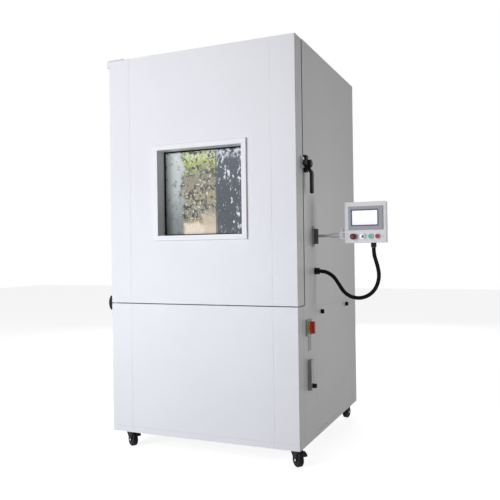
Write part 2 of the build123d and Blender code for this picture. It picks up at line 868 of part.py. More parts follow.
def riser_duct():
    """Plates of the duct from the blower's outlet up behind the liner to the nozzle box."""
    wall = duct_sheet
    x = (scroll_start - wall, scroll_end)
    inner_x = grown(x, -wall)
    sides = ((x[0], inner_x[0]), (inner_x[1], x[1]))
    start = liner_mid + scroll_outlet_length
    nozzle_x = grown(around(0, nozzle_width), wall)
    nozzle = grown(nozzle_z(), wall)
    front_y = (duct_front, duct_front + wall)
    back_y = (duct_back - wall, duct_back)
    plates = [block(x, (start, duct_back), (blower_low, blower_low + wall))]
    plates.append(block(inner_x, (start, front_y[1]), (blower_top - wall, blower_top)))
    plates.append(block(inner_x, front_y, (blower_top, nozzle[0])))
    plates.append(block(inner_x, back_y, (blower_low + wall, nozzle[0])))
    for side in sides:
        plates.append(block(side, (start, duct_back), (blower_low + wall, blower_top)))
        plates.append(block(side, (duct_front, duct_back), (blower_top, nozzle[0])))
    room = (duct_front, back_y[0])
    plates.append(block(nozzle_x, back_y, nozzle))
    plates.append(block(nozzle_x, room, (nozzle[1] - wall, nozzle[1])))
    plates.append(block((nozzle_x[0], nozzle_x[0] + wall), room, (nozzle[0], nozzle[1] - wall)))
    plates.append(block((nozzle_x[1] - wall, nozzle_x[1]), room, (nozzle[0], nozzle[1] - wall)))
    base_z = (nozzle[0], nozzle[0] + wall)
    plates.append(block((nozzle_x[0] + wall, inner_x[0]), room, base_z))
    plates.append(block((inner_x[1], nozzle_x[1] - wall), room, base_z))
    return plates


def blower_motor():
    """Flanged motor that hangs under the blower, with a terminal box and a fan cowl."""
    flange_top = blower_low
    body_top_z = flange_top - 10
    low = flange_top - motor_length
    motor = rod(motor_flange_radius, (0, liner_mid, body_top_z), "z", 10)
    motor += rod(motor_radius, (0, liner_mid, low + 40), "z", body_top_z - low - 40)
    motor += rod(motor_radius + 4, (0, liner_mid, low), "z", 42)
    box_z = (low + 70, low + 140)
    motor += block((motor_radius - 20, motor_radius + 36), around(liner_mid, 70), box_z)
    return motor - rod(shaft_radius + running_clearance, (0, liner_mid, flange_top - 45), "z", 46)


def impeller_blade():
    """One backward-curved blade of the impeller, standing on its back plate."""
    inner = shaft_radius * 3.2
    outer = impeller_radius - 2
    sweep = math.radians(32)
    tip = (outer * math.cos(sweep), outer * math.sin(sweep))
    middle_radius = (inner + outer) / 2
    middle = (middle_radius * math.cos(sweep * 0.3), middle_radius * math.sin(sweep * 0.3))
    side = blade_thickness
    front = ThreePointArc((inner, 0), middle, tip)
    back = ThreePointArc((inner, side), (middle[0], middle[1] + side), (tip[0] - side, tip[1] + side))
    rim = Line(tip, (tip[0] - side, tip[1] + side))
    root = Line((inner, side), (inner, 0))
    return make_face(Curve() + [front, rim, back, root])


def blower_impeller():
    """Open radial impeller with its hub and shaft."""
    low = blower_low + duct_sheet + impeller_clearance
    plate = rod(impeller_radius, (0, liner_mid, low), "z", blade_thickness)
    wheel = plate + rod(shaft_radius * 2.4, (0, liner_mid, low), "z", impeller_height * 0.6)
    blade = extrude(impeller_blade(), impeller_height - blade_thickness)
    for turn in range(impeller_blades):
        angle = 360 / impeller_blades * turn
        wheel += Pos(0, liner_mid, low + blade_thickness) * Rot(0, 0, angle) * blade
    shaft_low = blower_low - 44
    return wheel + rod(shaft_radius, (0, liner_mid, shaft_low), "z", low - shaft_low)


# Vacuum set and electrical plate


def vacuum_set():
    """Vacuum pump on its feet, with the canister filter beside it."""
    middle_x = -frame_half + pump_inset
    front = lower_front + angle_leg + pump_setback
    x = around(middle_x, pump_width)
    foot_top = floor_top + 14
    pump = block(x, (front, front + pump_length * 0.45), (foot_top, foot_top + pump_height))
    for fin in range(5):
        fin_y = front + 12 + fin * 17
        fins = block(grown(x, 6), (fin_y, fin_y + 5), (foot_top + 12, foot_top + pump_height + 6))
        pump += fins
    motor_z = foot_top + pump_height / 2
    pump += rod(pump_height * 0.46, (middle_x, front + pump_length * 0.45, motor_z), "y", pump_length * 0.55)
    for foot_y in (front + 10, front + pump_length - 30):
        pump += block(grown(x, 10), (foot_y, foot_y + 20), (floor_top, foot_top + 2))
    filter_x = middle_x - pump_width / 2 - filter_radius - 25
    filter_y = front + filter_radius
    canister = rod(filter_radius, (filter_x, filter_y, floor_top), "z", filter_height - 40)
    head = rod(filter_radius + 5, (filter_x, filter_y, floor_top + filter_height - 40), "z", 26)
    head += rod(16, (filter_x, filter_y, floor_top + filter_height - 14), "z", 14)
    return Compound([pump, canister + head])


def control_plate():
    """Electrical mounting plate with three rails of switchgear, standing behind the front panel."""
    right = frame_half - angle_leg - control_plate_gap
    x = (right - control_plate_width, right)
    y_back = lower_front + sheet + angle_leg + control_plate_back
    y = (y_back, y_back + control_plate_thickness)
    low = floor_top
    high = deck_top - sheet - angle_leg
    pieces_here = [block(x, y, (low, high))]
    rail_x = grown(x, -control_plate_gap)
    room = rail_x[1] - rail_x[0] - 2 * control_plate_gap
    rows = 3
    for row in range(rows):
        rail_z = low + (high - low) * (row + 1) / (rows + 1)
        rail_front = y[0] - rail_depth
        pieces_here.append(block(rail_x, (rail_front, y[0]), around(rail_z, rail_height)))
        devices = 4 + row
        width = room / devices
        front = rail_front - device_depth * (1 - 0.1 * row)
        for place in range(devices):
            device_low = rail_x[0] + control_plate_gap + place * width
            device_x = (device_low, device_low + 0.9 * width)
            pieces_here.append(block(device_x, (front, rail_front), around(rail_z, device_height)))
            nose_x = grown(device_x, -0.1 * width)
            pieces_here.append(block(nose_x, (front - nose_depth, front), around(rail_z, nose_height)))
    return Compound(pieces_here)


# Door


def door_shell():
    """Painted outer pan of the door, with the window's hole and the upper hinge ear."""
    y = (0, door_thickness - liner_sheet)
    face, *returns = pan((-half_width, half_width), y, (door_low, door_top))
    hole_x = grown(around(window_x, window_width), trim_wall)
    hole_z = grown(around(window_z, window_height), trim_wall)
    past_x = (-half_width - 1, half_width + 1)
    past_z = (door_low - 1, door_top + 1)
    slabs = [face & piece for piece in slabs_xz(past_x, (-1, door_thickness), past_z, hole_x, hole_z)]
    ear_z = (door_top - roof_ear_height, door_top)
    ear = rod(roof_ear_radius, (hinge_x, hinge_back, ear_z[0]), "z", roof_ear_height)
    ear += block((hinge_x, -half_width), around(hinge_back, 2 * roof_ear_radius), ear_z)
    ear -= rod(hinge_pin_radius + running_clearance, (hinge_x, hinge_back, ear_z[0] - 1), "z", roof_ear_height + 2)
    return Compound([*slabs, *returns, ear])


def door_liner():
    """Stainless inner pan of the door: a flat rim and a raised plug that enters the mouth."""
    rim_x = grown((-half_width, half_width), -1)
    rim_z = (door_low + 1, door_top - 1)
    rim_y = (door_thickness - liner_sheet, door_thickness)
    plug_x = grown((-liner_half, liner_half), -plug_clearance)
    plug_z = grown((liner_floor, liner_top), -plug_clearance)
    inner_x = grown(plug_x, -liner_sheet)
    inner_z = grown(plug_z, -liner_sheet)
    hole_x = around(window_x, window_width)
    hole_z = around(window_z, window_height)
    rim = slabs_xz(rim_x, rim_y, rim_z, inner_x, inner_z)
    sides = slabs_xz(plug_x, (rim_y[1], plug_back - liner_sheet), plug_z, inner_x, inner_z)
    face = slabs_xz(plug_x, (plug_back - liner_sheet, plug_back), plug_z, hole_x, hole_z)
    return Compound(rim + sides + face)


def glass_span():
    """x and z of the window's panes, which lap the opening on every side."""
    return (
        grown(around(window_x, window_width), glass_lap),
        grown(around(window_z, window_height), glass_lap),
    )


def door_insulation():
    """Foam core of the door around the well of the window, as slabs."""
    x = grown((-half_width, half_width), -sheet)
    z = (door_low + sheet, door_top - sheet)
    face_back = door_thickness - liner_sheet
    plug_x = grown((-liner_half, liner_half), -plug_clearance - liner_sheet)
    plug_z = grown((liner_floor, liner_top), -plug_clearance - liner_sheet)
    well_x, well_z = glass_span()
    core = slabs_xz(x, (sheet, face_back), z, well_x, well_z)
    core += slabs_xz(plug_x, (face_back, plug_back - liner_sheet), plug_z, well_x, well_z)
    return Compound(core)


def window_trim():
    """White frame that stands proud of the door, with the reveal back to the glass."""
    hole_x = around(window_x, window_width)
    hole_z = around(window_z, window_height)
    x = grown(hole_x, trim_border)
    z = grown(hole_z, trim_border)
    face = block(x, (-trim_proud, 0), z)
    face = chamfer(face.faces().sort_by(Axis.Y)[0].edges(), trim_chamfer)
    past = grown(x, 1)
    rails = [face & slab for slab in slabs_xz(past, (-trim_proud - 1, 0), grown(z, 1), hole_x, hole_z)]
    reveal_y = (0, glass_front - gasket_thickness)
    reveal = bars(grown(hole_x, trim_wall), reveal_y, grown(hole_z, trim_wall), trim_wall)
    return Compound(rails + reveal)


def window_gasket():
    """Black gasket in front of the outer pane, and the spacer frame between the panes."""
    x, z = glass_span()
    border = glass_lap + gasket_shows
    lip = bars(x, (glass_front - gasket_thickness, glass_front), z, border)
    spacer = bars(x, (outer_glass_back, inner_glass_front), z, border)
    return Compound(lip + spacer)


def window_glass():
    """Outer and inner panes."""
    x, z = glass_span()
    outer = block(x, (glass_front, outer_glass_back), z)
    inner = block(x, (inner_glass_front, inner_glass_back), z)
    return Compound([outer, inner])


# Hinge and latch


def barrel_half(up):
    """Half of the lift-off hinge's tapered barrel, above or below the seam."""
    radius = hinge_radius
    tip = hinge_tip_radius
    length = hinge_half_length
    shoulder = (tip + (radius - tip) * 0.88, length * 0.35)
    belly = (tip + (radius - tip) * 0.55, length * 0.75)
    outline = Polyline((0, 0), (radius, 0), shoulder, belly, (tip, length), (0, length), close=True)
    half = revolve(Plane.XZ * make_face(outline), Axis.Z)
    if not up:
        half = mirror(half, Plane.XY)
    lift = hinge_gap / 2 if up else -hinge_gap / 2
    return Pos(hinge_x, hinge_back, seam_z + lift) * half


def hinge_side_cut(z):
    """Everything right of the cabinet's left face between two heights."""
    return block((-half_width, 0), (-50, 100), z)


def lower_hinge_base():
    """Lower barrel of the hinge on the cabinet, with the pin that the door drops onto."""
    barrel = barrel_half(False) - hinge_side_cut((seam_z - 60, seam_z + 60))
    foot = block((hinge_x, -half_width), around(hinge_back, hinge_radius), (seam_z - hinge_half_length, deck_top - 4))
    pin_low = seam_z - hinge_gap / 2
    pin = rod(hinge_pin_radius, (hinge_x, hinge_back, pin_low - 5), "z", hinge_pin_length + 5)
    return barrel + foot + pin


def door_hinge_leaf():
    """Upper barrel of the hinge on the door."""
    barrel = barrel_half(True) - hinge_side_cut((seam_z - 60, seam_z + 60))
    foot = block((hinge_x, -half_width), around(hinge_back, hinge_radius), (door_low + 4, seam_z + hinge_half_length))
    bore_length = hinge_pin_length + 1
    bore = rod(hinge_pin_radius + running_clearance, (hinge_x, hinge_back, seam_z), "z", bore_length)
    return barrel + foot - bore


def latch_base():
    """Cast latch body on the cabinet's side, with the boss that the lever turns on."""
    x = (half_width, half_width + latch_base_thickness)
    y = (body_front + 2, body_front + 2 + latch_base_width)
    body = block(x, y, around(latch_z, latch_base_height))
    body = fillet(body.edges().filter_by(Axis.X), 7)
    body = chamfer(body.faces().sort_by(Axis.X)[-1].edges(), 3)
    boss_length = latch_clearance + latch_hub_length - 5
    return body + rod(latch_boss_radius, (x[1], latch_y, latch_z), "x", boss_length)


def latch_keeper():
    """Keeper plate on the door's edge with two raised horns."""
    x = (half_width, half_width + keeper_thickness)
    y = (door_thickness - 3 - keeper_width, door_thickness - 3)
    z = around(latch_z, keeper_height)
    plate = block((x[0], x[0] + 5), y, z)
    plate = fillet(plate.edges().filter_by(Axis.X), 5)
    for horn in (-1, 1):
        horn_z = around(latch_z + horn * (keeper_height / 2 - 11), 12)
        plate += block((x[0] + 4, x[1]), grown(y, -6), horn_z)
    return plate + block((x[0] + 4, x[0] + 9), (y[0] + 8, y[0] + 18), grown(z, -14))


def latch_lever():
    """Bent lever with its hub and the tongue that reaches over the keeper."""
    inner = half_width + latch_base_thickness + latch_clearance
    hub = rod(latch_hub_radius, (inner, latch_y, latch_z), "x", latch_hub_length)
    tongue_end = door_thickness - 3 - keeper_width * 0.8
    tongue_z = around(latch_z, latch_tongue_width)
    tongue = block((inner, inner + latch_tongue_thickness), (tongue_end, latch_y), tongue_z)
    bend_z = latch_z - latch_hub_radius - 28
    low = latch_z - latch_arm_length
    out = inner + latch_arm_offset
    outline = [
        (inner, latch_z),
        (inner, latch_z - latch_hub_radius - 6),
        (out, bend_z),
        (out, low),
        (out + latch_arm_thickness, low),
        (out + latch_arm_thickness, bend_z + 6),
        (inner + latch_arm_thickness * 0.8, latch_z - latch_hub_radius),
        (inner + latch_arm_thickness * 0.8, latch_z),
    ]
    face = make_face(Polyline(*outline, close=True))
    arm = extrude(Plane.XZ * face, latch_arm_width / 2, both=True)
    ends = arm.edges().filter_by(Axis.X).sort_by(Axis.Z)[:2]
    arm = Pos(0, latch_y, 0) * fillet(ends, latch_arm_width * 0.45)
    bore = rod(latch_boss_radius + running_clearance, (inner - 1, latch_y, latch_z), "x", latch_hub_length - 4)
    lever = hub + tongue + arm - bore
    cap = rod(latch_hub_radius - 5, (inner + latch_hub_length, latch_y, latch_z), "x", 3)
    return lever + cap


# Arm and pendant


def arm_bracket():
    """Wall bracket with two lugs and the arm's hinge pin."""
    x = (half_width, half_width + bracket_plate_thickness)
    low = arm_z - bracket_drop - bracket_lug_thickness - 0.5
    high = low + arm_barrel_length + 2 * bracket_lug_thickness + 1
    plate = block(x, around(arm_setback, bracket_plate_width), around((low + high) / 2, bracket_plate_height))
    plate = fillet(plate.edges().filter_by(Axis.X), 6)
    pin_x = half_width + arm_axis_out
    for lug_low in (low, high - bracket_lug_thickness):
        lug = rod(arm_barrel_radius, (pin_x, arm_setback, lug_low), "z", bracket_lug_thickness)
        lug_z = (lug_low, lug_low + bracket_lug_thickness)
        plate += lug + block((x[1] - 1, pin_x), around(arm_setback, 2 * arm_barrel_radius), lug_z)
    return plate + rod(arm_pin_radius, (pin_x, arm_setback, low), "z", high - low)


def pendant_arm():
    """Arm with its barrel, bar and thicker sleeve, and the eye that carries the pendant."""
    pin_x = half_width + arm_axis_out
    eye_x = half_width + pendant_axis_out
    barrel_low = arm_z - bracket_drop
    barrel = rod(arm_barrel_radius, (pin_x, arm_setback, barrel_low), "z", arm_barrel_length)
    sleeve_x = pin_x + (eye_x - pin_x) * arm_sleeve_share
    bar = block((pin_x, sleeve_x + 2), around(arm_setback, arm_bar), around(arm_z, arm_bar))
    sleeve = rod(arm_sleeve / 2, (sleeve_x, arm_setback, arm_z), "x", eye_x - sleeve_x)
    eye = rod(arm_eye_radius, (eye_x, arm_setback, arm_z - arm_eye_height / 2), "z", arm_eye_height)
    arm = barrel + bar + sleeve + eye
    arm -= rod(arm_pin_radius + running_clearance, (pin_x, arm_setback, barrel_low - 1), "z", arm_barrel_length + 2)
    bore = arm_pin_radius + running_clearance
    return arm - rod(bore, (eye_x, arm_setback, arm_z - arm_eye_height / 2 - 1), "z", arm_eye_height + 2)


def clevis():
    """Clevis on the pendant's left side with the pin through the arm's eye."""
    eye_x = half_width + pendant_axis_out
    ears = None
    for side in (-1, 1):
        inner = arm_z + side * (arm_eye_height / 2 + eye_clearance)
        ear_z = sorted((inner, inner + side * ear_thickness))
        ear = rod(arm_eye_radius, (eye_x, arm_setback, ear_z[0]), "z", ear_thickness)
        ear += block((eye_x, pendant_left - 4), around(arm_setback, 2 * arm_eye_radius), ear_z)
        ears = ear if ears is None else ears + ear
    height = arm_eye_height + 2 * (eye_clearance + ear_thickness)
    web_x = (pendant_left - ear_thickness, pendant_left)
    web = block(web_x, around(arm_setback, 2 * arm_eye_radius), around(arm_z, height))
    pin = rod(arm_pin_radius, (eye_x, arm_setback, arm_z - height / 2), "z", height)
    return ears + web + pin


def clamp_knob():
    """Ribbed hand knob on top of the pendant's pivot."""
    low = arm_z + arm_eye_height / 2 + eye_clearance + ear_thickness + 0.3
    eye = (half_width + pendant_axis_out, arm_setback)
    knob = rod(clamp_knob_radius, (*eye, low), "z", clamp_knob_height)
    for rib in range(6):
        angle = math.radians(60 * rib)
        groove = (eye[0] + clamp_knob_radius * math.cos(angle), eye[1] + clamp_knob_radius * math.sin(angle), low - 1)
        knob -= rod(2, groove, "z", clamp_knob_height + 2)
    return knob


def button_places():
    """x of each hole in the pendant's button row."""
    return [pendant_left + place for place in (stop_place, key_place, green_place, red_place)]


def pendant_box():
    """x, y and z spans of the pendant's box."""
    return (
        (pendant_left, pendant_left + pendant_width),
        (pendant_front, pendant_front + pendant_depth),
        (pendant_z, pendant_z + pendant_height),
    )


def bezel_span():
    """x and z of the touch panel's bezel."""
    x = (pendant_left + bezel_left, pendant_left + bezel_left + bezel_width)
    z = (pendant_z + bezel_low, pendant_z + bezel_low + bezel_height)
    return (x, z)


def pendant_housing():
    """Sheet-metal box with its lid, the holes of the touch panel and buttons, and the clevis."""
    x, y, z = pendant_box()
    lid_y = (y[1] - pendant_wall, y[1])
    box = block(x, (y[0], lid_y[0]), z)
    box = fillet(box.edges().filter_by(Axis.Y), pendant_edge_radius)
    inside = block(grown(x, -pendant_wall), (y[0] + pendant_wall, y[1]), grown(z, -pendant_wall))
    box -= inside
    bezel_x, bezel_z = bezel_span()
    box -= block(grown(bezel_x, -6), (y[0] - 1, y[0] + pendant_wall + 1), grown(bezel_z, -6))
    for place in button_places():
        box -= rod(button_hole + 1, (place, y[0] - 1, button_z), "y", pendant_wall + 2)
        box += tube(
            button_hole + collar_rim, button_hole, (place, y[0] - collar_proud, button_z), "y", collar_proud
        )
        box += tube(button_hole + 1.5, button_hole, (place, y[0], button_z), "y", button_body_length - 8)
    box -= rod(conduit_radius, (pendant_left + pendant_gland_place, arm_setback, z[0] - 1), "z", pendant_wall + 2)
    lid = block(grown(x, -0.0), lid_y, z)
    lid = fillet(lid.edges().filter_by(Axis.Y), pendant_edge_radius)
    return Compound([box + clevis(), lid])


def screen_bezel():
    """Touch panel body: a framed bezel with the display's recess and its case behind."""
    x, z = bezel_span()
    y = (pendant_front - bezel_proud, pendant_front)
    face = block(x, y, z)
    face = chamfer(face.faces().sort_by(Axis.Y)[0].edges(), 1.5)
    case = block(grown(x, -7), (pendant_front, pendant_front + pendant_depth * 0.6), grown(z, -7))
    screen_x, screen_z = screen_span()
    rim = block(grown(screen_x, 6), (y[0] - 1, y[0] + 1), grown(screen_z, 5))
    return face + case - rim - block(screen_x, (y[0], y[0] + screen_thickness + 1), screen_z)


def screen_span():
    """x and z of the display."""
    x, z = bezel_span()
    low_x = x[0] + screen_left
    low_z = z[0] + screen_low
    return ((low_x, low_x + screen_width), (low_z, low_z + screen_height))


def screen_glass():
    """Display pane in the bezel's recess."""
    x, z = screen_span()
    back = pendant_front - bezel_proud + screen_thickness + 1
    return block(x, (back - screen_thickness, back), z)


def pendant_gland():
    """Slim gland under the pendant that takes the conduit."""
    place = (pendant_left + pendant_gland_place, arm_setback)
    low = pendant_z - pendant_gland_length
    gland = Pos(*place, low) * extrude(RegularPolygon(pendant_nut_radius, 6), pendant_gland_length)
    return gland + rod(conduit_radius - 0.5, (*place, pendant_z), "z", pendant_wall + 4)


def push_button(place):
    """Flat push button with its stem, free to travel inward."""
    front = pendant_front - button_proud
    cap = rod(button_radius, (place, front, button_z), "y", button_proud + 6)
    cap = chamfer(cap.faces().sort_by(Axis.Y)[0].edges(), 1.2)
    return cap + rod(4, (place, front, button_z), "y", button_body_length)


def emergency_stop():
    """Mushroom-headed stop button on its stem."""
    place = button_places()[0]
    front = pendant_front - mushroom_stand - mushroom_height
    dome = mushroom_height * 0.35
    outline = Polyline(
        (0, 0),
        (mushroom_radius * 0.55, dome * 0.22),
        (mushroom_radius * 0.86, dome * 0.62),
        (mushroom_radius, dome * 1.4),
        (mushroom_radius * 0.96, dome * 2),
        (mushroom_radius * 0.8, mushroom_height),
        (0, mushroom_height),
        close=True,
    )
    head = revolve(Plane.XY * make_face(outline), Axis.Y)
    head = Pos(place, front, button_z) * head
    return head + rod(button_hole - running_clearance, (place, front + mushroom_height, button_z), "y", mushroom_stand + 12)


def key_switch():
    """Key-operated selector: barrel with its key left in."""
    place = button_places()[1]
    front = pendant_front - collar_proud - 2
    barrel = rod(button_radius, (place, front, button_z), "y", button_body_length - 4)
    key = block(around(place, 3), (front - 22, front), around(button_z, 16))
    return barrel + key


# Fittings on the right side


def isolator_base():
    """Square escutcheon of the main switch with its ring, and the switch body inside."""
    x = (half_width, half_width + isolator_thickness)
    z = isolator_z()
    plate = block(x, around(isolator_setback, isolator_size), around(z, isolator_size))
    plate = fillet(plate.edges().filter_by(Axis.X), 5)
    plate += rod(isolator_ring_radius, (x[1], isolator_setback, z), "x", isolator_ring_height)
    plate += rod(isolator_neck_radius() - 0.2, (casing_inside, isolator_setback, z), "x", sheet)
    plate += block((casing_inside - 55, casing_inside), around(isolator_setback, 50), around(z, 62))
    bore = rod(6, (half_width, isolator_setback, z), "x", isolator_thickness + isolator_ring_height + 1)
    return plate - bore


def isolator_handle():
    """Rotary handle of the main switch."""
    start = half_width + isolator_thickness + isolator_ring_height + 0.4
    z = isolator_z()
    hub = rod(isolator_hub_radius, (start, isolator_setback, z), "x", isolator_hub_height)
    hub = chamfer(hub.faces().sort_by(Axis.X)[-1].edges(), 1.5)
    grip_x = (start, start + isolator_hub_height + isolator_grip_height)
    grip = block(grip_x, around(isolator_setback, isolator_grip_width), around(z, isolator_grip_length))
    grip = fillet(grip.edges().filter_by(Axis.X), isolator_grip_width * 0.4)
    spindle = rod(6 - running_clearance, (half_width + 2, isolator_setback, z), "x", start - half_width - 1)
    return hub + grip + spindle


def flow_meter():
    """Clear block of the air-flow meter with its bored tube, fixed to the side."""
    x = (half_width, half_width + meter_depth)
    z = (body_low + meter_low, body_low + meter_low + meter_height)
    body = block(x, around(meter_setback, meter_width), z)
    body = fillet(body.edges().filter_by(Axis.X), 4)
    tube_x = half_width + meter_depth / 2 + 1
    tube_low = z[0] + 40
    body -= rod(meter_tube_radius, (tube_x, meter_setback, tube_low), "z", meter_height - 52)
    return body - rod(4, (x[1] - 12, meter_setback, z[0] + meter_knob_height), "x", 13)


def flow_valve_knob():
    """Knurled knob of the flow meter's needle valve."""
    z = body_low + meter_low + meter_knob_height
    start = half_width + meter_depth + 0.4
    knob = rod(meter_knob_radius, (start, meter_setback, z), "x", meter_knob_length)
    knob = chamfer(knob.faces().sort_by(Axis.X)[-1].edges(), 1.5)
    return knob + rod(4 - running_clearance, (start - 11, meter_setback, z), "x", 12)


def panel_knob(knob_y):
    """Quarter-turn knob: a flange, a wing grip and the stem with its cam."""
    start = half_width + 0.3
    z = knob_z()
    knob = rod(knob_radius, (start, knob_y, z), "x", knob_flange_height)
    knob += rod(knob_radius * 0.75, (start, knob_y, z), "x", knob_flange_height + 3)
    grip_x = (start, start + knob_flange_height + knob_grip_height)
    grip = block(grip_x, around(knob_y, knob_grip_width), around(z, knob_radius * 1.9))
    grip = fillet(grip.edges().filter_by(Axis.X), knob_grip_width * 0.4)
    inner = frame_half - angle_thickness - 0.5
    stem = rod(knob_stem_radius, (inner - 4, knob_y, z), "x", start - inner + 5)
    cam = block((inner - 4, inner), around(knob_y, 10), (z - 5, z + knob_row + 2))
    return knob + grip + stem + cam


def cable_entries():
    """Cable port through the left wall, mains inlet gland at the rear and the conduit's gland."""
    z = body_low + port_height
    wall = half_width - liner_half
    start = (-half_width - port_flange_thickness, port_setback, z)
    length = wall + port_flange_thickness + 2
    port = rod(port_radius + port_wall, start, "x", length)
    port += rod(port_flange_radius, start, "x", port_flange_thickness)
    port -= rod(port_radius, (start[0] - 1, port_setback, z), "x", length + 2)
    mains_at = (half_width - mains_inset, body_low + mains_height)
    mains = rod(mains_radius + 2.8, (mains_at[0], body_depth - sheet, mains_at[1]), "y", sheet)
    nut = extrude(RegularPolygon(mains_radius + 8, 6), mains_gland_length)
    mains += Pos(mains_at[0], body_depth, mains_at[1]) * TURN["y"] * nut
    mains -= rod(mains_radius, (mains_at[0], body_depth - sheet - 1, mains_at[1]), "y", mains_gland_length + 6)
    gland_z = body_low + arm_height - gland_drop
    gland = rod(conduit_radius - 0.2, (casing_inside, gland_setback, gland_z), "x", sheet)
    gland += rod(gland_nut_radius + 1, (half_width, gland_setback, gland_z), "x", 6)
    hexagon = extrude(RegularPolygon(gland_nut_radius, 6), gland_length - 6)
    gland += Pos(half_width + 6, gland_setback, gland_z) * TURN["x"] * hexagon
    socket_x = half_width + gland_length - gland_socket
    gland -= rod(conduit_radius + gland_slip, (socket_x, gland_setback, gland_z), "x", gland_socket + 1)
    return Compound([port, mains, gland])


# Castors


def castor_place(name):
    """Location whose origin is on the floor under a castor's swivel, x along its trail."""
    x, y, heading = castors[name]
    return Pos(x, y, 0) * Rot(0, 0, heading)


def castor_fork(name):
    """Castor fork with its crown, two cheeks, axle and pedal pin."""
    crown_top = castor_height - castor_plate_thickness - race_height - 0.4
    crown_low = crown_top - crown_thickness
    crown = rod(crown_radius, (0, 0, crown_low), "z", crown_thickness)
    inner = wheel_width / 2 + 1.5 + hub_clearance
    outline = [
        (-16, crown_top - 1),
        (-16, crown_low - 8),
        (castor_trail - 9, wheel_radius - 4),
        (castor_trail + 3, wheel_radius - 9),
        (castor_trail + 10, wheel_radius),
        (pedal_pin_out + 6, crown_top - pedal_pin_drop - 6),
        (pedal_pin_out + 6, crown_top - 1),
        (crown_radius - 5, crown_top - 1),
    ]
    face = make_face(Polyline(*outline, close=True))
    fork = crown
    for side in (-1, 1):
        start = inner if side > 0 else -inner - fork_sheet
        fork += Pos(0, start + fork_sheet, 0) * extrude(Plane.XZ * face, fork_sheet)
    width = 2 * (inner + fork_sheet)
    fork -= rod(kingpin_radius + running_clearance, (0, 0, crown_low - 1), "z", crown_thickness + 2)
    fork += rod(axle_radius, (castor_trail, -width / 2 - 1.5, wheel_radius), "y", width + 3)
    fork += rod(pedal_pin_radius, (pedal_pin_out, -width / 2, pedal_pin_z()), "y", width)
    return castor_place(name) * fork


def pedal_pin_z():
    """Height of a brake pedal's pin above the floor."""
    return castor_height - castor_plate_thickness - race_height - 0.4 - pedal_pin_drop


def castor_wheel(name):
    """Solid castor wheel with a raised hub on each side."""
    half = wheel_width / 2
    wheel = rod(wheel_radius, (0, -half, 0), "y", wheel_width)
    wheel = chamfer(wheel.edges().filter_by(GeomType.CIRCLE), 3)
    wheel += rod(wheel_radius * 0.28, (0, -half - 1.5, 0), "y", wheel_width + 3)
    wheel -= rod(axle_radius + running_clearance, (0, -half - 2, 0), "y", wheel_width + 4)
    return castor_place(name) * Pos(castor_trail, 0, wheel_radius) * wheel


def brake_pedal(name):
    """Foot pedal of a castor brake, hooked over its pin."""
    pin = (pedal_pin_out, pedal_pin_z())
    lip = (pedal_reach, pin[1] - 14)
    outline = [
        (pin[0] - 5, pin[1] - 5),
        (pin[0] - 5, pin[1] + 5),
        (pin[0] + 10, pin[1] + 7),
        (lip[0] - 6, lip[1] + 11),
        (lip[0], lip[1] + 4),
        (lip[0] - 1, lip[1] - 2),
        (lip[0] - 10, lip[1] + 3),
        (pin[0] + 12, pin[1] + 1),
    ]
    inner_width = wheel_width + 2
    face = make_face(Polyline(*outline, close=True))
    pedal = Pos(0, inner_width / 2, 0) * extrude(Plane.XZ * face, inner_width)
    tread = block((pin[0] + 16, lip[0] - 1), around(0, pedal_width + 8), (lip[1] - 3, pin[1] + 12))
    wide = Pos(0, pedal_width / 2 + 4, 0) * extrude(Plane.XZ * face, pedal_width + 8)
    pedal += wide & tread
    pedal -= rod(pedal_pin_radius + running_clearance, (pin[0], -inner_width, pin[1]), "y", 2 * inner_width)
    return castor_place(name) * pedal


# Conduit


def conduit_point(point):
    """A point of the conduit's route in the drawing frame."""
    return Vector(half_width + point[0], point[1], body_low + point[2])


def conduit_run(points):
    """Tube along straight runs joined by arcs as large as the runs allow."""
    radii = []
    for before, corner, after in zip(points, points[1:], points[2:]):
        one = corner - before
        two = after - corner
        turn = math.radians(one.get_angle(two))
        radii.append(0.45 * min(one.length, two.length) / math.tan(turn / 2))
    path = FilletPolyline(*points, radius=radii)
    section = Plane(path @ 0, z_dir=path % 0) * Circle(conduit_radius)
    run = sweep(section, path=path)
    expected = math.pi * conduit_radius**2 * path.length
    print("conduit radii", [round(radius) for radius in radii], "length", round(path.length))
    print("conduit volume against section times length", round(run.volume / expected, 4))
    return run


def conduit():
    """Conduit in one loop from the side gland to the gland under the pendant."""
    points = [conduit_start, *conduit_points, conduit_end]
    return conduit_run([conduit_point(point) for point in points])


pieces = [
    base_frame, left_casing, right_casing, roof_panel, rear_panel, rear_service_panel, front_panel,
    side_service_panel, throat_frame, door_seal, chamber_liner, insulation, specimen_shelf,
    dust_hopper, blower_housing, blower_motor, blower_impeller, vacuum_set, control_plate,
    door_shell, door_liner, door_insulation, window_trim, window_gasket, window_glass,
    lower_hinge_base, door_hinge_leaf, latch_base, latch_keeper, latch_lever, arm_bracket,
    pendant_arm, clamp_knob, pendant_housing, screen_bezel, screen_glass, pendant_gland,
    emergency_stop, key_switch, isolator_base, isolator_handle, flow_meter, flow_valve_knob,
    cable_entries, conduit,
]
for piece in pieces:
    save(piece.__name__, piece())
save("green_button", push_button(button_places()[2]))
save("red_button", push_button(button_places()[3]))
for knob_name, knob_place in zip(("front", "rear"), knob_places()):
    save(f"panel_knob_{knob_name}", panel_knob(knob_place))
for castor in castors:
    save(f"castor_fork_{castor}", castor_fork(castor))
    save(f"castor_wheel_{castor}", castor_wheel(castor))
for castor in braked_castors:
    save(f"brake_pedal_{castor}", brake_pedal(castor))
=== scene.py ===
import math

import bmesh
import bpy
from mathutils import Matrix, Vector


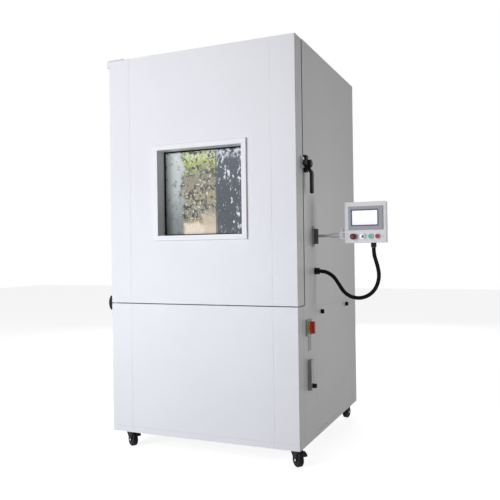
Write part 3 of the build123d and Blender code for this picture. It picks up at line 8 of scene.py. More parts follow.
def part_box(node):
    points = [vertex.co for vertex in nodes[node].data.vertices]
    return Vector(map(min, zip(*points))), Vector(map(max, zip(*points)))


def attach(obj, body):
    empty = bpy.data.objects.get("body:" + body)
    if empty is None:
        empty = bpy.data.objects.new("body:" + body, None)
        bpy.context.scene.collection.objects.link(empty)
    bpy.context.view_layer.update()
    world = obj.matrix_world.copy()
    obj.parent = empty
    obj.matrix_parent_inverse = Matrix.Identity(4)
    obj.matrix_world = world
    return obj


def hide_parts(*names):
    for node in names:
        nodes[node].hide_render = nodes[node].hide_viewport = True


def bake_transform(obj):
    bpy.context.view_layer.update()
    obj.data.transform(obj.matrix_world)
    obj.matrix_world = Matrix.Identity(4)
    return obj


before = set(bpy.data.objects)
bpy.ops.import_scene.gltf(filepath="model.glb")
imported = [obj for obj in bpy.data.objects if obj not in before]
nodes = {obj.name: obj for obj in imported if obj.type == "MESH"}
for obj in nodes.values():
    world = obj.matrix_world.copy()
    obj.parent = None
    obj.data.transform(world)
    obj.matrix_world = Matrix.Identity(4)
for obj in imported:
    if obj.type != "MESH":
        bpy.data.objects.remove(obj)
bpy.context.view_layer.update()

# Offsets from the drawing frame, where x is 0 on the cabinet's centre line and y is 0 on
# the door's front, to the shared frame, in metres.
ORIGIN_X = 0.17325
ORIGIN_Y = 0.557
HALF_WIDTH = 0.5275
BODY_LOW = 0.095


def at(x, y, z):
    """Point in the shared frame from drawing coordinates."""
    return Vector((x - ORIGIN_X, y - ORIGIN_Y, z))


def beside(x, y, z):
    """Point in metres out of the right side, behind the door's front and above the underside."""
    return at(HALF_WIDTH + x, y, BODY_LOW + z)


# Material building blocks


class Nodes:
    """Short calls to build one procedural material."""

    def __init__(self, name):
        self.material = bpy.data.materials.new(name)
        self.material.use_nodes = True
        self.tree = self.material.node_tree
        self.shader = self.tree.nodes["Principled BSDF"]
        self.place = self.tree.nodes.new("ShaderNodeTexCoord").outputs["Object"]

    def node(self, kind, values=None, **settings):
        new = self.tree.nodes.new(kind)
        for key, value in settings.items():
            setattr(new, key, value)
        for key, value in (values or {}).items():
            socket = new.inputs[key]
            if isinstance(value, bpy.types.NodeSocket):
                self.tree.links.new(value, socket)
            else:
                socket.default_value = value
        return new

    def set(self, **values):
        for key, value in values.items():
            socket = self.shader.inputs[key.replace("_", " ")]
            if isinstance(value, bpy.types.NodeSocket):
                self.tree.links.new(value, socket)
            else:
                socket.default_value = value

    def noise(self, scale, detail=3.0, rough=0.5, place=None, stretch=None):
        where = place or self.place
        if stretch:
            where = self.node("ShaderNodeMapping", {"Vector": where, "Scale": stretch}).outputs["Vector"]
        return self.node(
            "ShaderNodeTexNoise", {"Vector": where, "Scale": scale, "Detail": detail, "Roughness": rough}
        ).outputs["Fac"]

    def ramp(self, value, stops):
        new = self.node("ShaderNodeValToRGB", {"Fac": value})
        ramp = new.color_ramp
        while len(ramp.elements) < len(stops):
            ramp.elements.new(0.5)
        for element, (place, colour) in zip(ramp.elements, stops):
            element.position = place
            element.color = colour if len(colour) == 4 else (*colour, 1)
        return new.outputs["Color"]

    def range(self, value, low, high, out_low=0.0, out_high=1.0):
        values = {"Value": value, "From Min": low, "From Max": high, "To Min": out_low, "To Max": out_high}
        return self.node("ShaderNodeMapRange", values).outputs["Result"]

    def mix(self, factor, one, two):
        new = self.node("ShaderNodeMix", data_type="RGBA")
        for socket, value in (
            (new.inputs[0], factor),
            (new.inputs[6], one),
            (new.inputs[7], two),
        ):
            if isinstance(value, bpy.types.NodeSocket):
                self.tree.links.new(value, socket)
            else:
                socket.default_value = value if isinstance(value, float) else (*value[:3], 1)
        return new.outputs[2]

    def math(self, operation, one, two=0.0):
        new = self.node("ShaderNodeMath", operation=operation)
        for socket, value in zip(new.inputs, (one, two)):
            if isinstance(value, bpy.types.NodeSocket):
                self.tree.links.new(value, socket)
            else:
                socket.default_value = value
        return new.outputs[0]

    def bump(self, height, strength, distance=0.001, normal=None):
        values = {"Height": height, "Strength": strength, "Distance": distance}
        if normal:
            values["Normal"] = normal
        return self.node("ShaderNodeBump", values).outputs["Normal"]

    def axes(self):
        return self.node("ShaderNodeSeparateXYZ", {"Vector": self.place}).outputs


def paint(name, colour, roughness=0.42, grain=900.0, bump=0.06, shade=0.03, specular=0.5):
    """Baked enamel: an even colour with faint cloudiness and an orange-peel surface."""
    m = Nodes(name)
    cloud = m.noise(3.0, 2.0)
    darker = tuple(c * (1 - shade) for c in colour)
    lighter = tuple(min(1.0, c * (1 + shade)) for c in colour)
    m.set(Base_Color=m.mix(cloud, darker, lighter), Specular_IOR_Level=specular)
    rough = m.range(m.noise(40.0, 3.0), 0.3, 0.7, roughness - 0.05, roughness + 0.05)
    m.set(Roughness=rough, Normal=m.bump(m.noise(grain, 2.0), bump, 0.0004))
    return m.material


def plastic(name, colour, roughness=0.45, grain=2500.0, bump=0.12, specular=0.5):
    """Moulded plastic or rubber with a fine texture and slightly uneven gloss."""
    m = Nodes(name)
    cloud = m.noise(25.0, 3.0)
    m.set(Base_Color=m.mix(cloud, tuple(c * 0.9 for c in colour), tuple(min(1, c * 1.12) for c in colour)))
    m.set(Roughness=m.range(m.noise(90.0, 3.0), 0.3, 0.7, roughness - 0.08, roughness + 0.08))
    m.set(Normal=m.bump(m.noise(grain, 2.0), bump, 0.0003))
    m.set(Specular_IOR_Level=specular)
    return m.material


def brushed(name, colour, roughness=0.32, stretch=(6.0, 6.0, 400.0), bump=0.05, metallic=1.0):
    """Brushed or drawn metal with fine lines along one direction."""
    m = Nodes(name)
    lines = m.noise(1.0, 4.0, 0.6, stretch=stretch)
    m.set(Base_Color=m.mix(lines, tuple(c * 0.82 for c in colour), tuple(min(1, c * 1.12) for c in colour)))
    m.set(Metallic=metallic, Roughness=m.range(lines, 0.3, 0.7, roughness - 0.08, roughness + 0.1))
    m.set(Normal=m.bump(lines, bump, 0.0004))
    return m.material


WHITE = paint("cabinet_enamel", (0.82, 0.812, 0.828), 0.42)
TRIM = paint("trim_enamel", (0.85, 0.835, 0.85), 0.36, bump=0.03)
HEM_SHADE = paint("hem_shade", (0.60, 0.60, 0.62), 0.5)
FRAME_GREY = paint("frame_enamel", (0.36, 0.37, 0.38), 0.5)
BLACK_METAL = paint("black_hardware", (0.014, 0.014, 0.016), 0.42, grain=1500.0, bump=0.08, specular=0.13)
CASTOR_BLACK = paint("castor_black", (0.011, 0.011, 0.013), 0.5, grain=1200.0, bump=0.1, specular=0.12)
TYRE = plastic("castor_tread", (0.010, 0.010, 0.011), 0.6, specular=0.12)
SEAL = plastic("seal_rubber", (0.010, 0.010, 0.011), 0.7, specular=0.12)
BLACK_PLASTIC = plastic("black_plastic", (0.008, 0.008, 0.009), 0.5, specular=0.12)
LIGHT_PLASTIC = plastic("light_plastic", (0.72, 0.73, 0.73), 0.45)
STAINLESS = brushed("stainless", (0.47, 0.48, 0.49), 0.42)
STEEL_PART = brushed("zinc_steel", (0.40, 0.40, 0.41), 0.36, (60.0, 60.0, 60.0), 0.05)
MOTOR = paint("machine_enamel", (0.16, 0.19, 0.22), 0.45, grain=400.0, bump=0.2)
SWITCHGEAR = plastic("switchgear", (0.45, 0.46, 0.46), 0.5)
STOP_RED = plastic("stop_red", (0.125, 0.004, 0.014), 0.34, bump=0.03, specular=0.35)
RED = plastic("button_red", (0.46, 0.012, 0.06), 0.3, bump=0.03, specular=0.35)
GREEN = plastic("button_green", (0.14, 0.56, 0.42), 0.3, bump=0.03, specular=0.35)
HANDLE_RED = plastic("handle_red", (0.66, 0.03, 0.025), 0.34, bump=0.05)
PLATE_GREY = plastic("switch_plate", (0.42, 0.44, 0.46), 0.45)
PENDANT = paint("pendant_enamel", (0.80, 0.79, 0.805), 0.4)


def wool():
    """Mineral wool with loose fibres."""
    m = Nodes("mineral_wool")
    fibres = m.noise(160.0, 6.0, 0.7, stretch=(1.0, 1.0, 3.0))
    m.set(Base_Color=m.ramp(fibres, [(0.3, (0.30, 0.25, 0.13)), (0.7, (0.62, 0.55, 0.36))]))
    m.set(Roughness=0.95, Normal=m.bump(fibres, 0.8, 0.003))
    return m.material


WOOL = wool()


def conduit_material():
    """Black corrugated conduit, dulled in uneven patches."""
    m = Nodes("conduit_black")
    dust = m.noise(300.0, 4.0)
    m.set(Base_Color=m.ramp(dust, [(0.35, (0.003, 0.003, 0.003)), (0.75, (0.009, 0.009, 0.010))]))
    m.set(Roughness=m.range(dust, 0.3, 0.7, 0.5, 0.65), Specular_IOR_Level=0.1)
    m.set(Normal=m.bump(m.noise(1800.0, 2.0), 0.1, 0.0003))
    return m.material


CONDUIT = conduit_material()


def along_x(name, bands, roughness=0.4):
    """Enamel in bands along x, where a band can also be painted shade; each band is where it ends, in
    metres out of the side, and its grey.
    """
    m = Nodes(name)
    x = m.axes()[0]
    grain = m.noise(60.0, 3.0)
    colour = m.mix(grain, *[tuple(c * share for c in bands[0][1]) for share in (0.92, 1.06)])
    for (ends, _), (_, following) in zip(bands, bands[1:]):
        shade = m.mix(grain, *[tuple(min(1.0, c * share) for c in following) for share in (0.92, 1.06)])
        edge = beside(ends, 0, 0).x
        colour = m.mix(m.range(x, edge - 0.0003, edge + 0.0003), colour, shade)
    m.set(Base_Color=colour, Roughness=m.range(grain, 0.3, 0.7, roughness - 0.05, roughness + 0.08))
    m.set(Normal=m.bump(m.noise(1500.0, 2.0), 0.06, 0.0003), Specular_IOR_Level=0.35)
    return m.material


BRACKET_LOOK = along_x("bracket_enamel", [(0.0045, (0.42, 0.43, 0.42)), (1.0, (0.15, 0.155, 0.15))])
# Pendant arm: the dark hinge barrel, then a grey band of painted shade on the tube from 30 to 139 mm out of
# the side, then the tube's own light enamel.
ARM_ENAMEL_AND_SHADE = along_x(
    "arm_enamel_and_shade",
    [(0.0300, (0.10, 0.10, 0.10)), (0.1390, (0.66, 0.67, 0.67)), (1.0, (0.82, 0.82, 0.82))],
)


def window_material():
    """Dusty pane of the window: a painted reflection of the bright view it mirrors, broken up by dust and
    wiped streaks.
    """
    low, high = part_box("window_glass")
    m = Nodes("dusty_window")
    x, _, z = m.axes()
    warp_x = m.range(m.noise(14.0, 4.0), 0.3, 0.7, -0.05, 0.05)
    warp_z = m.range(m.noise(11.0, 4.0, place=None, stretch=(1.0, 1.0, 1.3)), 0.3, 0.7, -0.05, 0.05)
    u = m.range(x, low[0] + 0.004, high[0] - 0.004)
    v = m.range(z, low[2] + 0.004, high[2] - 0.004)
    ragged = m.math("ADD", u, warp_x)
    level = m.math("ADD", v, warp_z)
    fleck = m.noise(75.0, 5.0, 0.65)
    leaf = m.noise(48.0, 6.0, 0.7, stretch=(1.0, 1.0, 0.8))
    streak = m.noise(38.0, 6.0, 0.72, stretch=(1.5, 1.0, 0.75))

    middle = m.ramp(level, [
        (0.0, (0.92, 0.80, 0.66)),
        (0.10, (0.88, 0.72, 0.54)),
        (0.15, (0.36, 0.32, 0.18)),
        (0.30, (0.30, 0.29, 0.22)),
        (0.46, (0.42, 0.37, 0.22)),
        (0.58, (0.30, 0.27, 0.20)),
        (0.72, (0.30, 0.31, 0.17)),
        (0.84, (0.46, 0.52, 0.14)),
        (1.0, (0.52, 0.60, 0.20)),
    ])
    above_path = m.range(level, 0.12, 0.16)
    left_leaf = m.range(u, 0.40, 0.26, 0.0, 0.045)
    dark_leaf = m.range(m.math("ADD", leaf, left_leaf), 0.53, 0.58)
    middle = m.mix(m.math("MULTIPLY", dark_leaf, above_path), middle, (0.055, 0.06, 0.05))
    light_fleck = m.range(fleck, 0.58, 0.63)
    middle = m.mix(m.math("MULTIPLY", light_fleck, 0.9), middle, (0.90, 0.92, 0.88))
    sand = m.math("MULTIPLY", m.range(ragged, 0.46, 0.50), m.range(level, 0.30, 0.22))
    middle = m.mix(m.math("MULTIPLY", sand, 0.8), middle, (0.74, 0.62, 0.47))

    slate = m.ramp(level, [
        (0.0, (0.095, 0.11, 0.125)),
        (0.5, (0.06, 0.075, 0.095)),
        (1.0, (0.07, 0.09, 0.12)),
    ])
    reach = m.math("MAXIMUM", m.range(level, 0.45, 1.0, 0.0, 0.10), m.range(u, 0.80, 1.0, 0.0, 0.10))
    grains = m.math("ADD", streak, reach)
    dusted = m.range(grains, 0.605, 0.665)
    slate = m.mix(dusted, slate, (0.88, 0.91, 0.93))
    slate = m.mix(m.math("MULTIPLY", m.range(fleck, 0.60, 0.68), 0.5), slate, (0.55, 0.58, 0.60))

    # Left part of the pane: darker at the bottom, lighter towards the top, with dark specks.
    left_part = m.ramp(level, [
        (0.0, (0.20, 0.22, 0.21)),
        (0.28, (0.30, 0.33, 0.32)),
        (0.5, (0.50, 0.55, 0.52)),
        (1.0, (0.66, 0.70, 0.67)),
    ])
    speck = m.math("MULTIPLY", m.range(leaf, 0.55, 0.62), 0.65)
    left_part = m.mix(speck, left_part, (0.12, 0.13, 0.12))

    to_middle = m.range(ragged, 0.20, 0.24)
    to_slate = m.range(m.math("ADD", u, m.math("MULTIPLY", warp_x, 0.12)), 0.640, 0.646)
    colour = m.mix(to_slate, m.mix(to_middle, left_part, middle), slate)
    line = m.math("MULTIPLY", m.range(u, 0.622, 0.630), m.range(u, 0.650, 0.642))
    colour = m.mix(m.math("MULTIPLY", line, 0.75), colour, (0.06, 0.07, 0.06))
    rim = m.math("MAXIMUM", m.range(v, 0.86, 0.96), m.range(u, 0.93, 0.98))
    colour = m.mix(m.math("MULTIPLY", rim, m.range(fleck, 0.48, 0.56)), colour, (0.80, 0.83, 0.84))
    m.set(Base_Color=colour, Roughness=m.range(fleck, 0.4, 0.7, 0.12, 0.35), Specular_IOR_Level=0.2)
    m.set(Normal=m.bump(m.noise(120.0, 3.0), 0.02, 0.0005))
    return m.material


WINDOW = window_material()


def screen_material():
    """Lit, blank touch screen."""
    low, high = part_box("screen_glass")
    m = Nodes("blank_screen")
    _, _, z = m.axes()
    glow = m.ramp(m.range(z, low[2], high[2]), [(0.0, (0.86, 0.84, 0.90)), (1.0, (0.95, 0.96, 0.99))])
    m.set(Base_Color=glow, Emission_Color=glow, Emission_Strength=0.40, Roughness=0.12)
    return m.material


def bezel_material():
    """Grey bezel of the touch panel, darker in the border around the screen."""
    low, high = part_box("screen_glass")
    m = Nodes("touch_panel_bezel")
    x, _, z = m.axes()
    reach = 0.0062
    fade = 0.0004
    left = m.range(x, low[0] - reach - fade, low[0] - reach)
    inside = m.math("MULTIPLY", left, m.range(x, high[0] + reach + fade, high[0] + reach))
    inside = m.math("MULTIPLY", inside, m.range(z, low[2] - reach - fade, low[2] - reach))
    inside = m.math("MULTIPLY", inside, m.range(z, high[2] + reach + fade, high[2] + reach))
    m.set(Base_Color=m.mix(inside, (0.40, 0.41, 0.43), (0.095, 0.10, 0.115)))
    m.set(Roughness=m.range(m.noise(90.0, 3.0), 0.3, 0.7, 0.40, 0.50), Specular_IOR_Level=0.25)
    m.set(Normal=m.bump(m.noise(2600.0, 2.0), 0.1, 0.0003))
    return m.material


def acrylic():
    """Smoky polished block."""
    m = Nodes("clear_acrylic")
    m.set(Base_Color=m.mix(m.noise(30.0), (0.42, 0.44, 0.44), (0.54, 0.56, 0.56)), Roughness=0.12, IOR=1.49)
    m.set(Transmission_Weight=0.3)
    return m.material


def switch_plate():
    """Main switch's escutcheon: a grey plate with a raised yellow ring."""
    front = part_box("isolator_base")[1][0]
    ring_radius = 0.0346
    ring_height = 0.0039
    m = Nodes("switch_escutcheon")
    x, y, z = m.axes()
    centre = beside(0.0, 0.145, 0.570)
    out_y = m.math("SUBTRACT", y, centre.y)
    out_z = m.math("SUBTRACT", z, centre.z)
    squares = m.math("ADD", m.math("MULTIPLY", out_y, out_y), m.math("MULTIPLY", out_z, out_z))
    within = m.range(m.math("POWER", squares, 0.5), ring_radius, ring_radius - 0.0004)
    ring = m.math("MULTIPLY", within, m.range(x, front - ring_height, front - ring_height + 0.0002))
    grain = m.noise(60.0, 3.0)
    grey = m.mix(grain, (0.33, 0.35, 0.37), (0.42, 0.44, 0.46))
    yellow = m.mix(grain, (0.58, 0.43, 0.05), (0.74, 0.56, 0.08))
    m.set(Base_Color=m.mix(ring, grey, yellow), Roughness=m.range(grain, 0.3, 0.7, 0.36, 0.5))
    m.set(Normal=m.bump(m.noise(2400.0, 2.0), 0.1, 0.0003))
    return m.material


def use(name, material):
    """Gives one CAD node a material."""
    slots = nodes[name].data.materials
    if not slots:
        slots.append(material)
    for index in range(len(slots)):
        slots[index] = material


looks = {
    WHITE: ["left_casing", "right_casing", "roof_panel", "rear_panel", "rear_service_panel", "front_panel",
            "side_service_panel", "throat_frame", "door_shell"],
    TRIM: ["window_trim"],
    FRAME_GREY: ["base_frame"],
    SEAL: ["door_seal", "window_gasket"],
    STAINLESS: ["chamber_liner", "specimen_shelf", "dust_hopper", "blower_housing", "blower_impeller",
                "door_liner"],
    WOOL: ["insulation", "door_insulation"],
    MOTOR: ["blower_motor", "vacuum_set"],
    SWITCHGEAR: ["control_plate"],
    BLACK_METAL: ["lower_hinge_base", "door_hinge_leaf", "latch_base", "latch_lever"],
    BRACKET_LOOK: ["arm_bracket"],
    ARM_ENAMEL_AND_SHADE: ["pendant_arm"],
    LIGHT_PLASTIC: ["clamp_knob"],
    PENDANT: ["pendant_housing"],
    bezel_material(): ["screen_bezel"],
    screen_material(): ["screen_glass"],
    WINDOW: ["window_glass"],
    BLACK_PLASTIC: ["pendant_gland", "flow_valve_knob", "cable_entries", "panel_knob_front",
                    "panel_knob_rear"],
    STOP_RED: ["emergency_stop"],
    STEEL_PART: ["latch_keeper", "key_switch"],
    GREEN: ["green_button"],
    RED: ["red_button"],
    switch_plate(): ["isolator_base"],
    HANDLE_RED: ["isolator_handle"],
    acrylic(): ["flow_meter"],
    CASTOR_BLACK: [n for n in nodes if n.startswith(("castor_fork", "brake_pedal"))],
    TYRE: [n for n in nodes if n.startswith("castor_wheel")],
}
for material, names in looks.items():
    for name in names:
        use(name, material)


# Mesh building


def new_piece(name, mesh_maker, material, body, smooth=True, bevel=0.0):
    """Object from a bmesh function, shaded, bevelled and riding on a body."""
    bm = bmesh.new()
    mesh_maker(bm)
    mesh = bpy.data.meshes.new(name)
    bm.normal_update()
    bm.to_mesh(mesh)
    bm.free()
    piece = bpy.data.objects.new(name, mesh)
    bpy.context.scene.collection.objects.link(piece)
    mesh.materials.append(material)
    if smooth:
        for face in mesh.polygons:
            face.use_smooth = True
        mesh.set_sharp_from_angle(angle=math.radians(35))
    if bevel:
        edge = piece.modifiers.new("edge", "BEVEL")
        edge.width = bevel
        edge.segments = 2
        edge.limit_method = "ANGLE"
    if body:
        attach(piece, body)
    return piece


def turned(bm, profile, place, axis, steps=32):
    """Solid of revolution: profile is (distance along the axis, radius) pairs."""
    along = Vector(axis).normalized()
    side = along.orthogonal().normalized()
    other = along.cross(side)
    rings = []
    for distance, radius in profile:
        centre = Vector(place) + along * distance
        if radius < 1e-6:
            rings.append([bm.verts.new(centre)])
            continue
        ring = []
        for step in range(steps):
            angle = 2 * math.pi * step / steps
            ring.append(bm.verts.new(centre + (side * math.cos(angle) + other * math.sin(angle)) * radius))
        rings.append(ring)
    for one, two in zip(rings, rings[1:]):
        for step in range(steps):
            following = (step + 1) % steps
            if len(one) == 1 and len(two) == 1:
                continue
            if len(one) == 1:
                bm.faces.new((one[0], two[following], two[step]))
            elif len(two) == 1:
                bm.faces.new((one[step], one[following], two[0]))
            else:
                bm.faces.new((one[step], one[following], two[following], two[step]))
    bmesh.ops.recalc_face_normals(bm, faces=bm.faces)


def slab(bm, low, high):
    """Axis-aligned box between two corners."""
    low, high = Vector(low), Vector(high)
    corners = [Vector((x, y, z)) for x in (low.x, high.x) for y in (low.y, high.y) for z in (low.z, high.z)]
    verts = [bm.verts.new(corner) for corner in corners]
    for quad in ((0, 1, 3, 2), (4, 6, 7, 5), (0, 4, 5, 1), (2, 3, 7, 6), (0, 2, 6, 4), (1, 5, 7, 3)):
        bm.faces.new([verts[i] for i in quad])
    bmesh.ops.recalc_face_normals(bm, faces=bm.faces)


def screw(name, place, axis, body, radius=0.0035, material=None):
    """Dome-headed screw with a round recess sunk into its head."""
    def make(bm):
        height = radius * 0.55
        profile = [(0.0, radius), (height * 0.35, radius), (height * 0.8, radius * 0.75)]
        profile += [(height, radius * 0.42), (height * 0.55, radius * 0.30), (height * 0.55, 0.0)]
        turned(bm, profile, place, axis, 20)
    return new_piece(name, make, material or STEEL_PART, body)


# Camera, at the photograph's viewpoint

FOCAL_PIXELS = 632.1
PICTURE_PIXELS = 500
SENSOR_WIDTH = 36.0
CAMERA_PLACE = at(1.5002, -2.8242, 1.0376)
YAW = math.radians(23.301)
PITCH = math.radians(0.218)
ROLL = math.radians(-0.760)
forward = Vector((-math.sin(YAW) * math.cos(PITCH), math.cos(YAW) * math.cos(PITCH), math.sin(PITCH)))
level = Vector((math.cos(YAW), math.sin(YAW), 0))
upward = level.cross(forward)
right = math.cos(ROLL) * level + math.sin(ROLL) * upward
top = -math.sin(ROLL) * level + math.cos(ROLL) * upward
camera_data = bpy.data.cameras.new("camera")
camera_data.sensor_width = SENSOR_WIDTH
camera_data.lens = FOCAL_PIXELS / PICTURE_PIXELS * SENSOR_WIDTH
camera_data.clip_end = 100.0
camera = bpy.data.objects.new("camera", camera_data)
bpy.context.scene.collection.objects.link(camera)
turn = Matrix((right, top, -forward)).transposed().to_4x4()
camera.matrix_world = Matrix.Translation(CAMERA_PLACE) @ turn
bpy.context.scene.camera = camera


# Conduit, from the gland in the side to the gland under the pendant

CONDUIT_DIAMETER = 0.020
conduit_start = beside(0.010, 0.270, 0.843)
conduit_end = beside(0.308, 0.245, 0.9597)
conduit_route = [
    conduit_start,
    beside(0.044, 0.270, 0.843),
    beside(0.0765, 0.2695, 0.8316),
    beside(0.104, 0.268, 0.8095),
    beside(0.125, 0.2665, 0.7775),
    beside(0.1465, 0.265, 0.7445),
    beside(0.174, 0.2625, 0.721),
    beside(0.212, 0.260, 0.7095),
    beside(0.248, 0.2575, 0.7115),
    beside(0.2826, 0.255, 0.7265),
    beside(0.3105, 0.2525, 0.754),
    beside(0.326, 0.250, 0.788),
    beside(0.332, 0.248, 0.822),
    beside(0.328, 0.2465, 0.856),
    beside(0.319, 0.2455, 0.891),
    beside(0.308, 0.245, 0.926),
    conduit_end,
]


def spline_points(route):
    """Points along the NURBS spline with the route as its control points."""
    curve = bpy.data.curves.new("route", "CURVE")
    curve.dimensions = "3D"
    curve.resolution_u = 24
    spline = curve.splines.new("NURBS")
    spline.points.add(len(route) - 1)
    for point, place in zip(spline.points, route):
        point.co = (*place, 1)
    spline.order_u = 3
    spline.use_endpoint_u = True
    holder = bpy.data.objects.new("route", curve)
    bpy.context.scene.collection.objects.link(holder)
    bpy.context.view_layer.update()
    mesh = bpy.data.meshes.new_from_object(holder)
    points = [vertex.co.copy() for vertex in mesh.vertices]
    bpy.data.objects.remove(holder)
    bpy.data.curves.remove(curve)
    bpy.data.meshes.remove(mesh)
    if (points[0] - route[0]).length > (points[-1] - route[0]).length:
        points.reverse()
    return points


def evenly(points, step):
    """Points a constant distance apart along a polyline, with its ends kept."""
    lengths = [0.0]
    for one, two in zip(points, points[1:]):
        lengths.append(lengths[-1] + (two - one).length)
    count = max(2, round(lengths[-1] / step))
    out = []
    place = 0
    for index in range(count + 1):
        target = lengths[-1] * index / count
        while place < len(points) - 2 and lengths[place + 1] < target:
            place += 1
        span = max(lengths[place + 1] - lengths[place], 1e-9)
        share = (target - lengths[place]) / span
        out.append(points[place].lerp(points[place + 1], share))
    return out


def corrugated(bm, points, radius, pitch, depth):
    """Ribbed tube along points, closed at both ends; the ribs stand square to the line."""
    sides = 24
    normal = (points[1] - points[0]).orthogonal().normalized()
    rings = []
    travelled = 0.0
    for index, centre in enumerate(points):
        ahead = points[min(index + 1, len(points) - 1)]
        behind = points[max(index - 1, 0)]
        tangent = (ahead - behind).normalized()
        normal = (normal - tangent * normal.dot(tangent)).normalized()
        other = tangent.cross(normal)
        if index:
            travelled += (centre - points[index - 1]).length
        wave = 0.5 + 0.5 * math.cos(2 * math.pi * travelled / pitch)
        size = radius - depth * (1 - wave**0.6)
        ring = []
        for side in range(sides):
            angle = 2 * math.pi * side / sides
            ring.append(bm.verts.new(centre + (normal * math.cos(angle) + other * math.sin(angle)) * size))
        rings.append(ring)
    for one, two in zip(rings, rings[1:]):
        for side in range(sides):
            following = (side + 1) % sides
            bm.faces.new((one[side], one[following], two[following], two[side]))
    bm.faces.new(list(reversed(rings[0])))
    bm.faces.new(rings[-1])
    bmesh.ops.recalc_face_normals(bm, faces=bm.faces)


route_points = spline_points(conduit_route)
RIB_PITCH = 0.0036
RIB_DEPTH = 0.0012
fine = evenly(route_points, RIB_PITCH / 4)
lowest = min(range(len(fine)), key=lambda i: fine[i].z)
halves = {"conduit_lower_half": fine[: lowest + 1], "conduit_upper_half": fine[lowest:]}
for name, points in halves.items():
    upper = name == "conduit_upper_half"
    piece = new_piece(
        name,
        lambda bm, points=points: corrugated(bm, points, CONDUIT_DIAMETER / 2, RIB_PITCH, RIB_DEPTH),
        CONDUIT,
        None,
    )
    if upper:
        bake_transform(piece)
    else:
        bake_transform(piece)
    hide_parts("conduit")


# Small pieces


def side_plate(name, y, z, thickness, material):
    """Thin plate on the right side, from its spans behind the door's front and above the underside."""
    new_piece(
        name,
        lambda bm: slab(bm, beside(0.0, y[0], z[0]), beside(thickness, y[1], z[1])),
        material, "cabinet", bevel=0.0006,
    )


def screws(name, places, axis, body, radius=0.0035, material=None):
    """Row of screws with numbered names."""
    for index, place in enumerate(places):
        screw(f"{name}_{index}", place, axis, body, radius, material)


def corners(middle_y, middle_z, half_y, half_z, x):
    """Four places on a plate of the right side, at a height of x above the side."""
    return [beside(x, middle_y + v * half_y, middle_z + w * half_z) for v in (-1, 1) for w in (-1, 1)]


# Places on the right side, in metres: Z and LOW above the underside, Y behind the door's front,
# FACE out of the side
SWITCH_Z = 0.570
SWITCH_Y = 0.145
METER_Y = 0.150
METER_LOW = 0.262
METER_FACE = 0.020
LATCH_Z = 1.372
LATCH_Y = 0.122
BRACKET_Z = 1.019
ARM_Y = 0.245

side_plate("bare_side_plate", (0.138, 0.186), (0.452, 0.525), 0.0012, PLATE_GREY)
screws("plate_rivet", [beside(0.0012, 0.162, z) for z in (0.456, 0.521)], (1, 0, 0), "cabinet", 0.0014)
screws("switch_screw", corners(SWITCH_Y, SWITCH_Z, 0.033, 0.033, 0.009), (1, 0, 0), "cabinet", 0.0024)
screws("latch_screw", corners(LATCH_Y, LATCH_Z, 0.0, 0.033, 0.0146)[:2], (1, 0, 0), "cabinet", 0.0030)
screws("bracket_screw", corners(ARM_Y, BRACKET_Z, 0.015, 0.045, 0.004), (1, 0, 0), "cabinet", 0.0034)
meter_screw_places = [beside(METER_FACE, METER_Y, METER_LOW + z) for z in (0.006, 0.144)]
screws("meter_screw", meter_screw_places, (1, 0, 0), "cabinet", 0.0020)


def meter_scale(bm):
    """Plain tick marks beside the meter's tube."""
    for tick in range(11):
        z = METER_LOW + 0.048 + tick * 0.0085
        length = 0.009 if tick % 5 == 0 else 0.005
        low = beside(METER_FACE, METER_Y + 0.010, z - 0.0003)
        slab(bm, low, beside(METER_FACE + 0.0002, METER_Y + 0.010 + length, z + 0.0003))


def meter_float(bm):
    """Float that stands in the meter's tube."""
    profile = [(0.0, 0.0), (0.004, 0.0022), (0.009, 0.0046), (0.011, 0.0046), (0.0115, 0.0)]
    turned(bm, profile, beside(0.011, METER_Y, METER_LOW + 0.075), (0, 0, 1), 20)


new_piece("meter_scale", meter_scale, BLACK_PLASTIC, "cabinet", smooth=False)
new_piece("meter_float", meter_float, STEEL_PART, "cabinet")


HEM_HALF = 0.515
HEM_LOW = BODY_LOW + 0.0300
HEM_HEIGHT = 0.0009


def hem_shade_strip(bm):
    """Grey strip low on the front panel: painted shade along a pressed line."""
    slab(bm, at(-HEM_HALF, -0.0003, HEM_LOW), at(HEM_HALF, 0.0001, HEM_LOW + HEM_HEIGHT))


new_piece("front_panel_hem_shade", hem_shade_strip, HEM_SHADE, "cabinet", smooth=False)

# Pendant's box, measured like the places above, with LEFT out of the side
PENDANT_LEFT = 0.172
PENDANT_FRONT = 0.220
PENDANT_BACK = PENDANT_FRONT + 0.050
PENDANT_LOW = 0.982
BUTTON_Z = PENDANT_LOW + 0.031


def button_ring(name, place, material, inner=0.0109, outer=0.0147):
    """Bright ring that lies on a button's collar."""
    def make(bm):
        profile = [(0.0, inner), (0.0, outer), (0.0016, outer)]
        profile += [(0.0024, outer - 0.0008), (0.0024, inner), (0.0, inner)]
        turned(bm, profile, beside(PENDANT_LEFT + place, PENDANT_FRONT - 0.003, BUTTON_Z), (0, -1, 0), 40)
    new_piece(name, make, material, "pendant")


button_ring("selector_ring", 0.087, STEEL_PART)
button_ring("green_button_ring", 0.127, LIGHT_PLASTIC)
button_ring("red_button_ring", 0.161, LIGHT_PLASTIC, outer=0.0135)


def power_lamp(bm):
    """Small domed lamp beside the red button."""
    profile = [(0.0, 0.0026), (0.0012, 0.0026), (0.0022, 0.0016), (0.0026, 0.0)]
    turned(bm, profile, beside(PENDANT_LEFT + 0.187, PENDANT_FRONT, BUTTON_Z), (0, -1, 0), 20)


new_piece("power_lamp", power_lamp, GREEN, "pendant")
lid_places = [
    beside(PENDANT_LEFT + x, PENDANT_BACK, PENDANT_LOW + z) for x in (0.010, 0.190) for z in (0.010, 0.190)
]
screws("lid_screw", lid_places, (0, 1, 0), "pendant", 0.0028)

ROOF = 2.075
bracket_places = [at(x, y, ROOF + 0.005) for x, y in ((-0.520, 0.146), (-0.462, 0.146), (-0.462, 0.118))]
screws("roof_bracket_screw", bracket_places, (0, 0, 1), "cabinet", 0.0045)

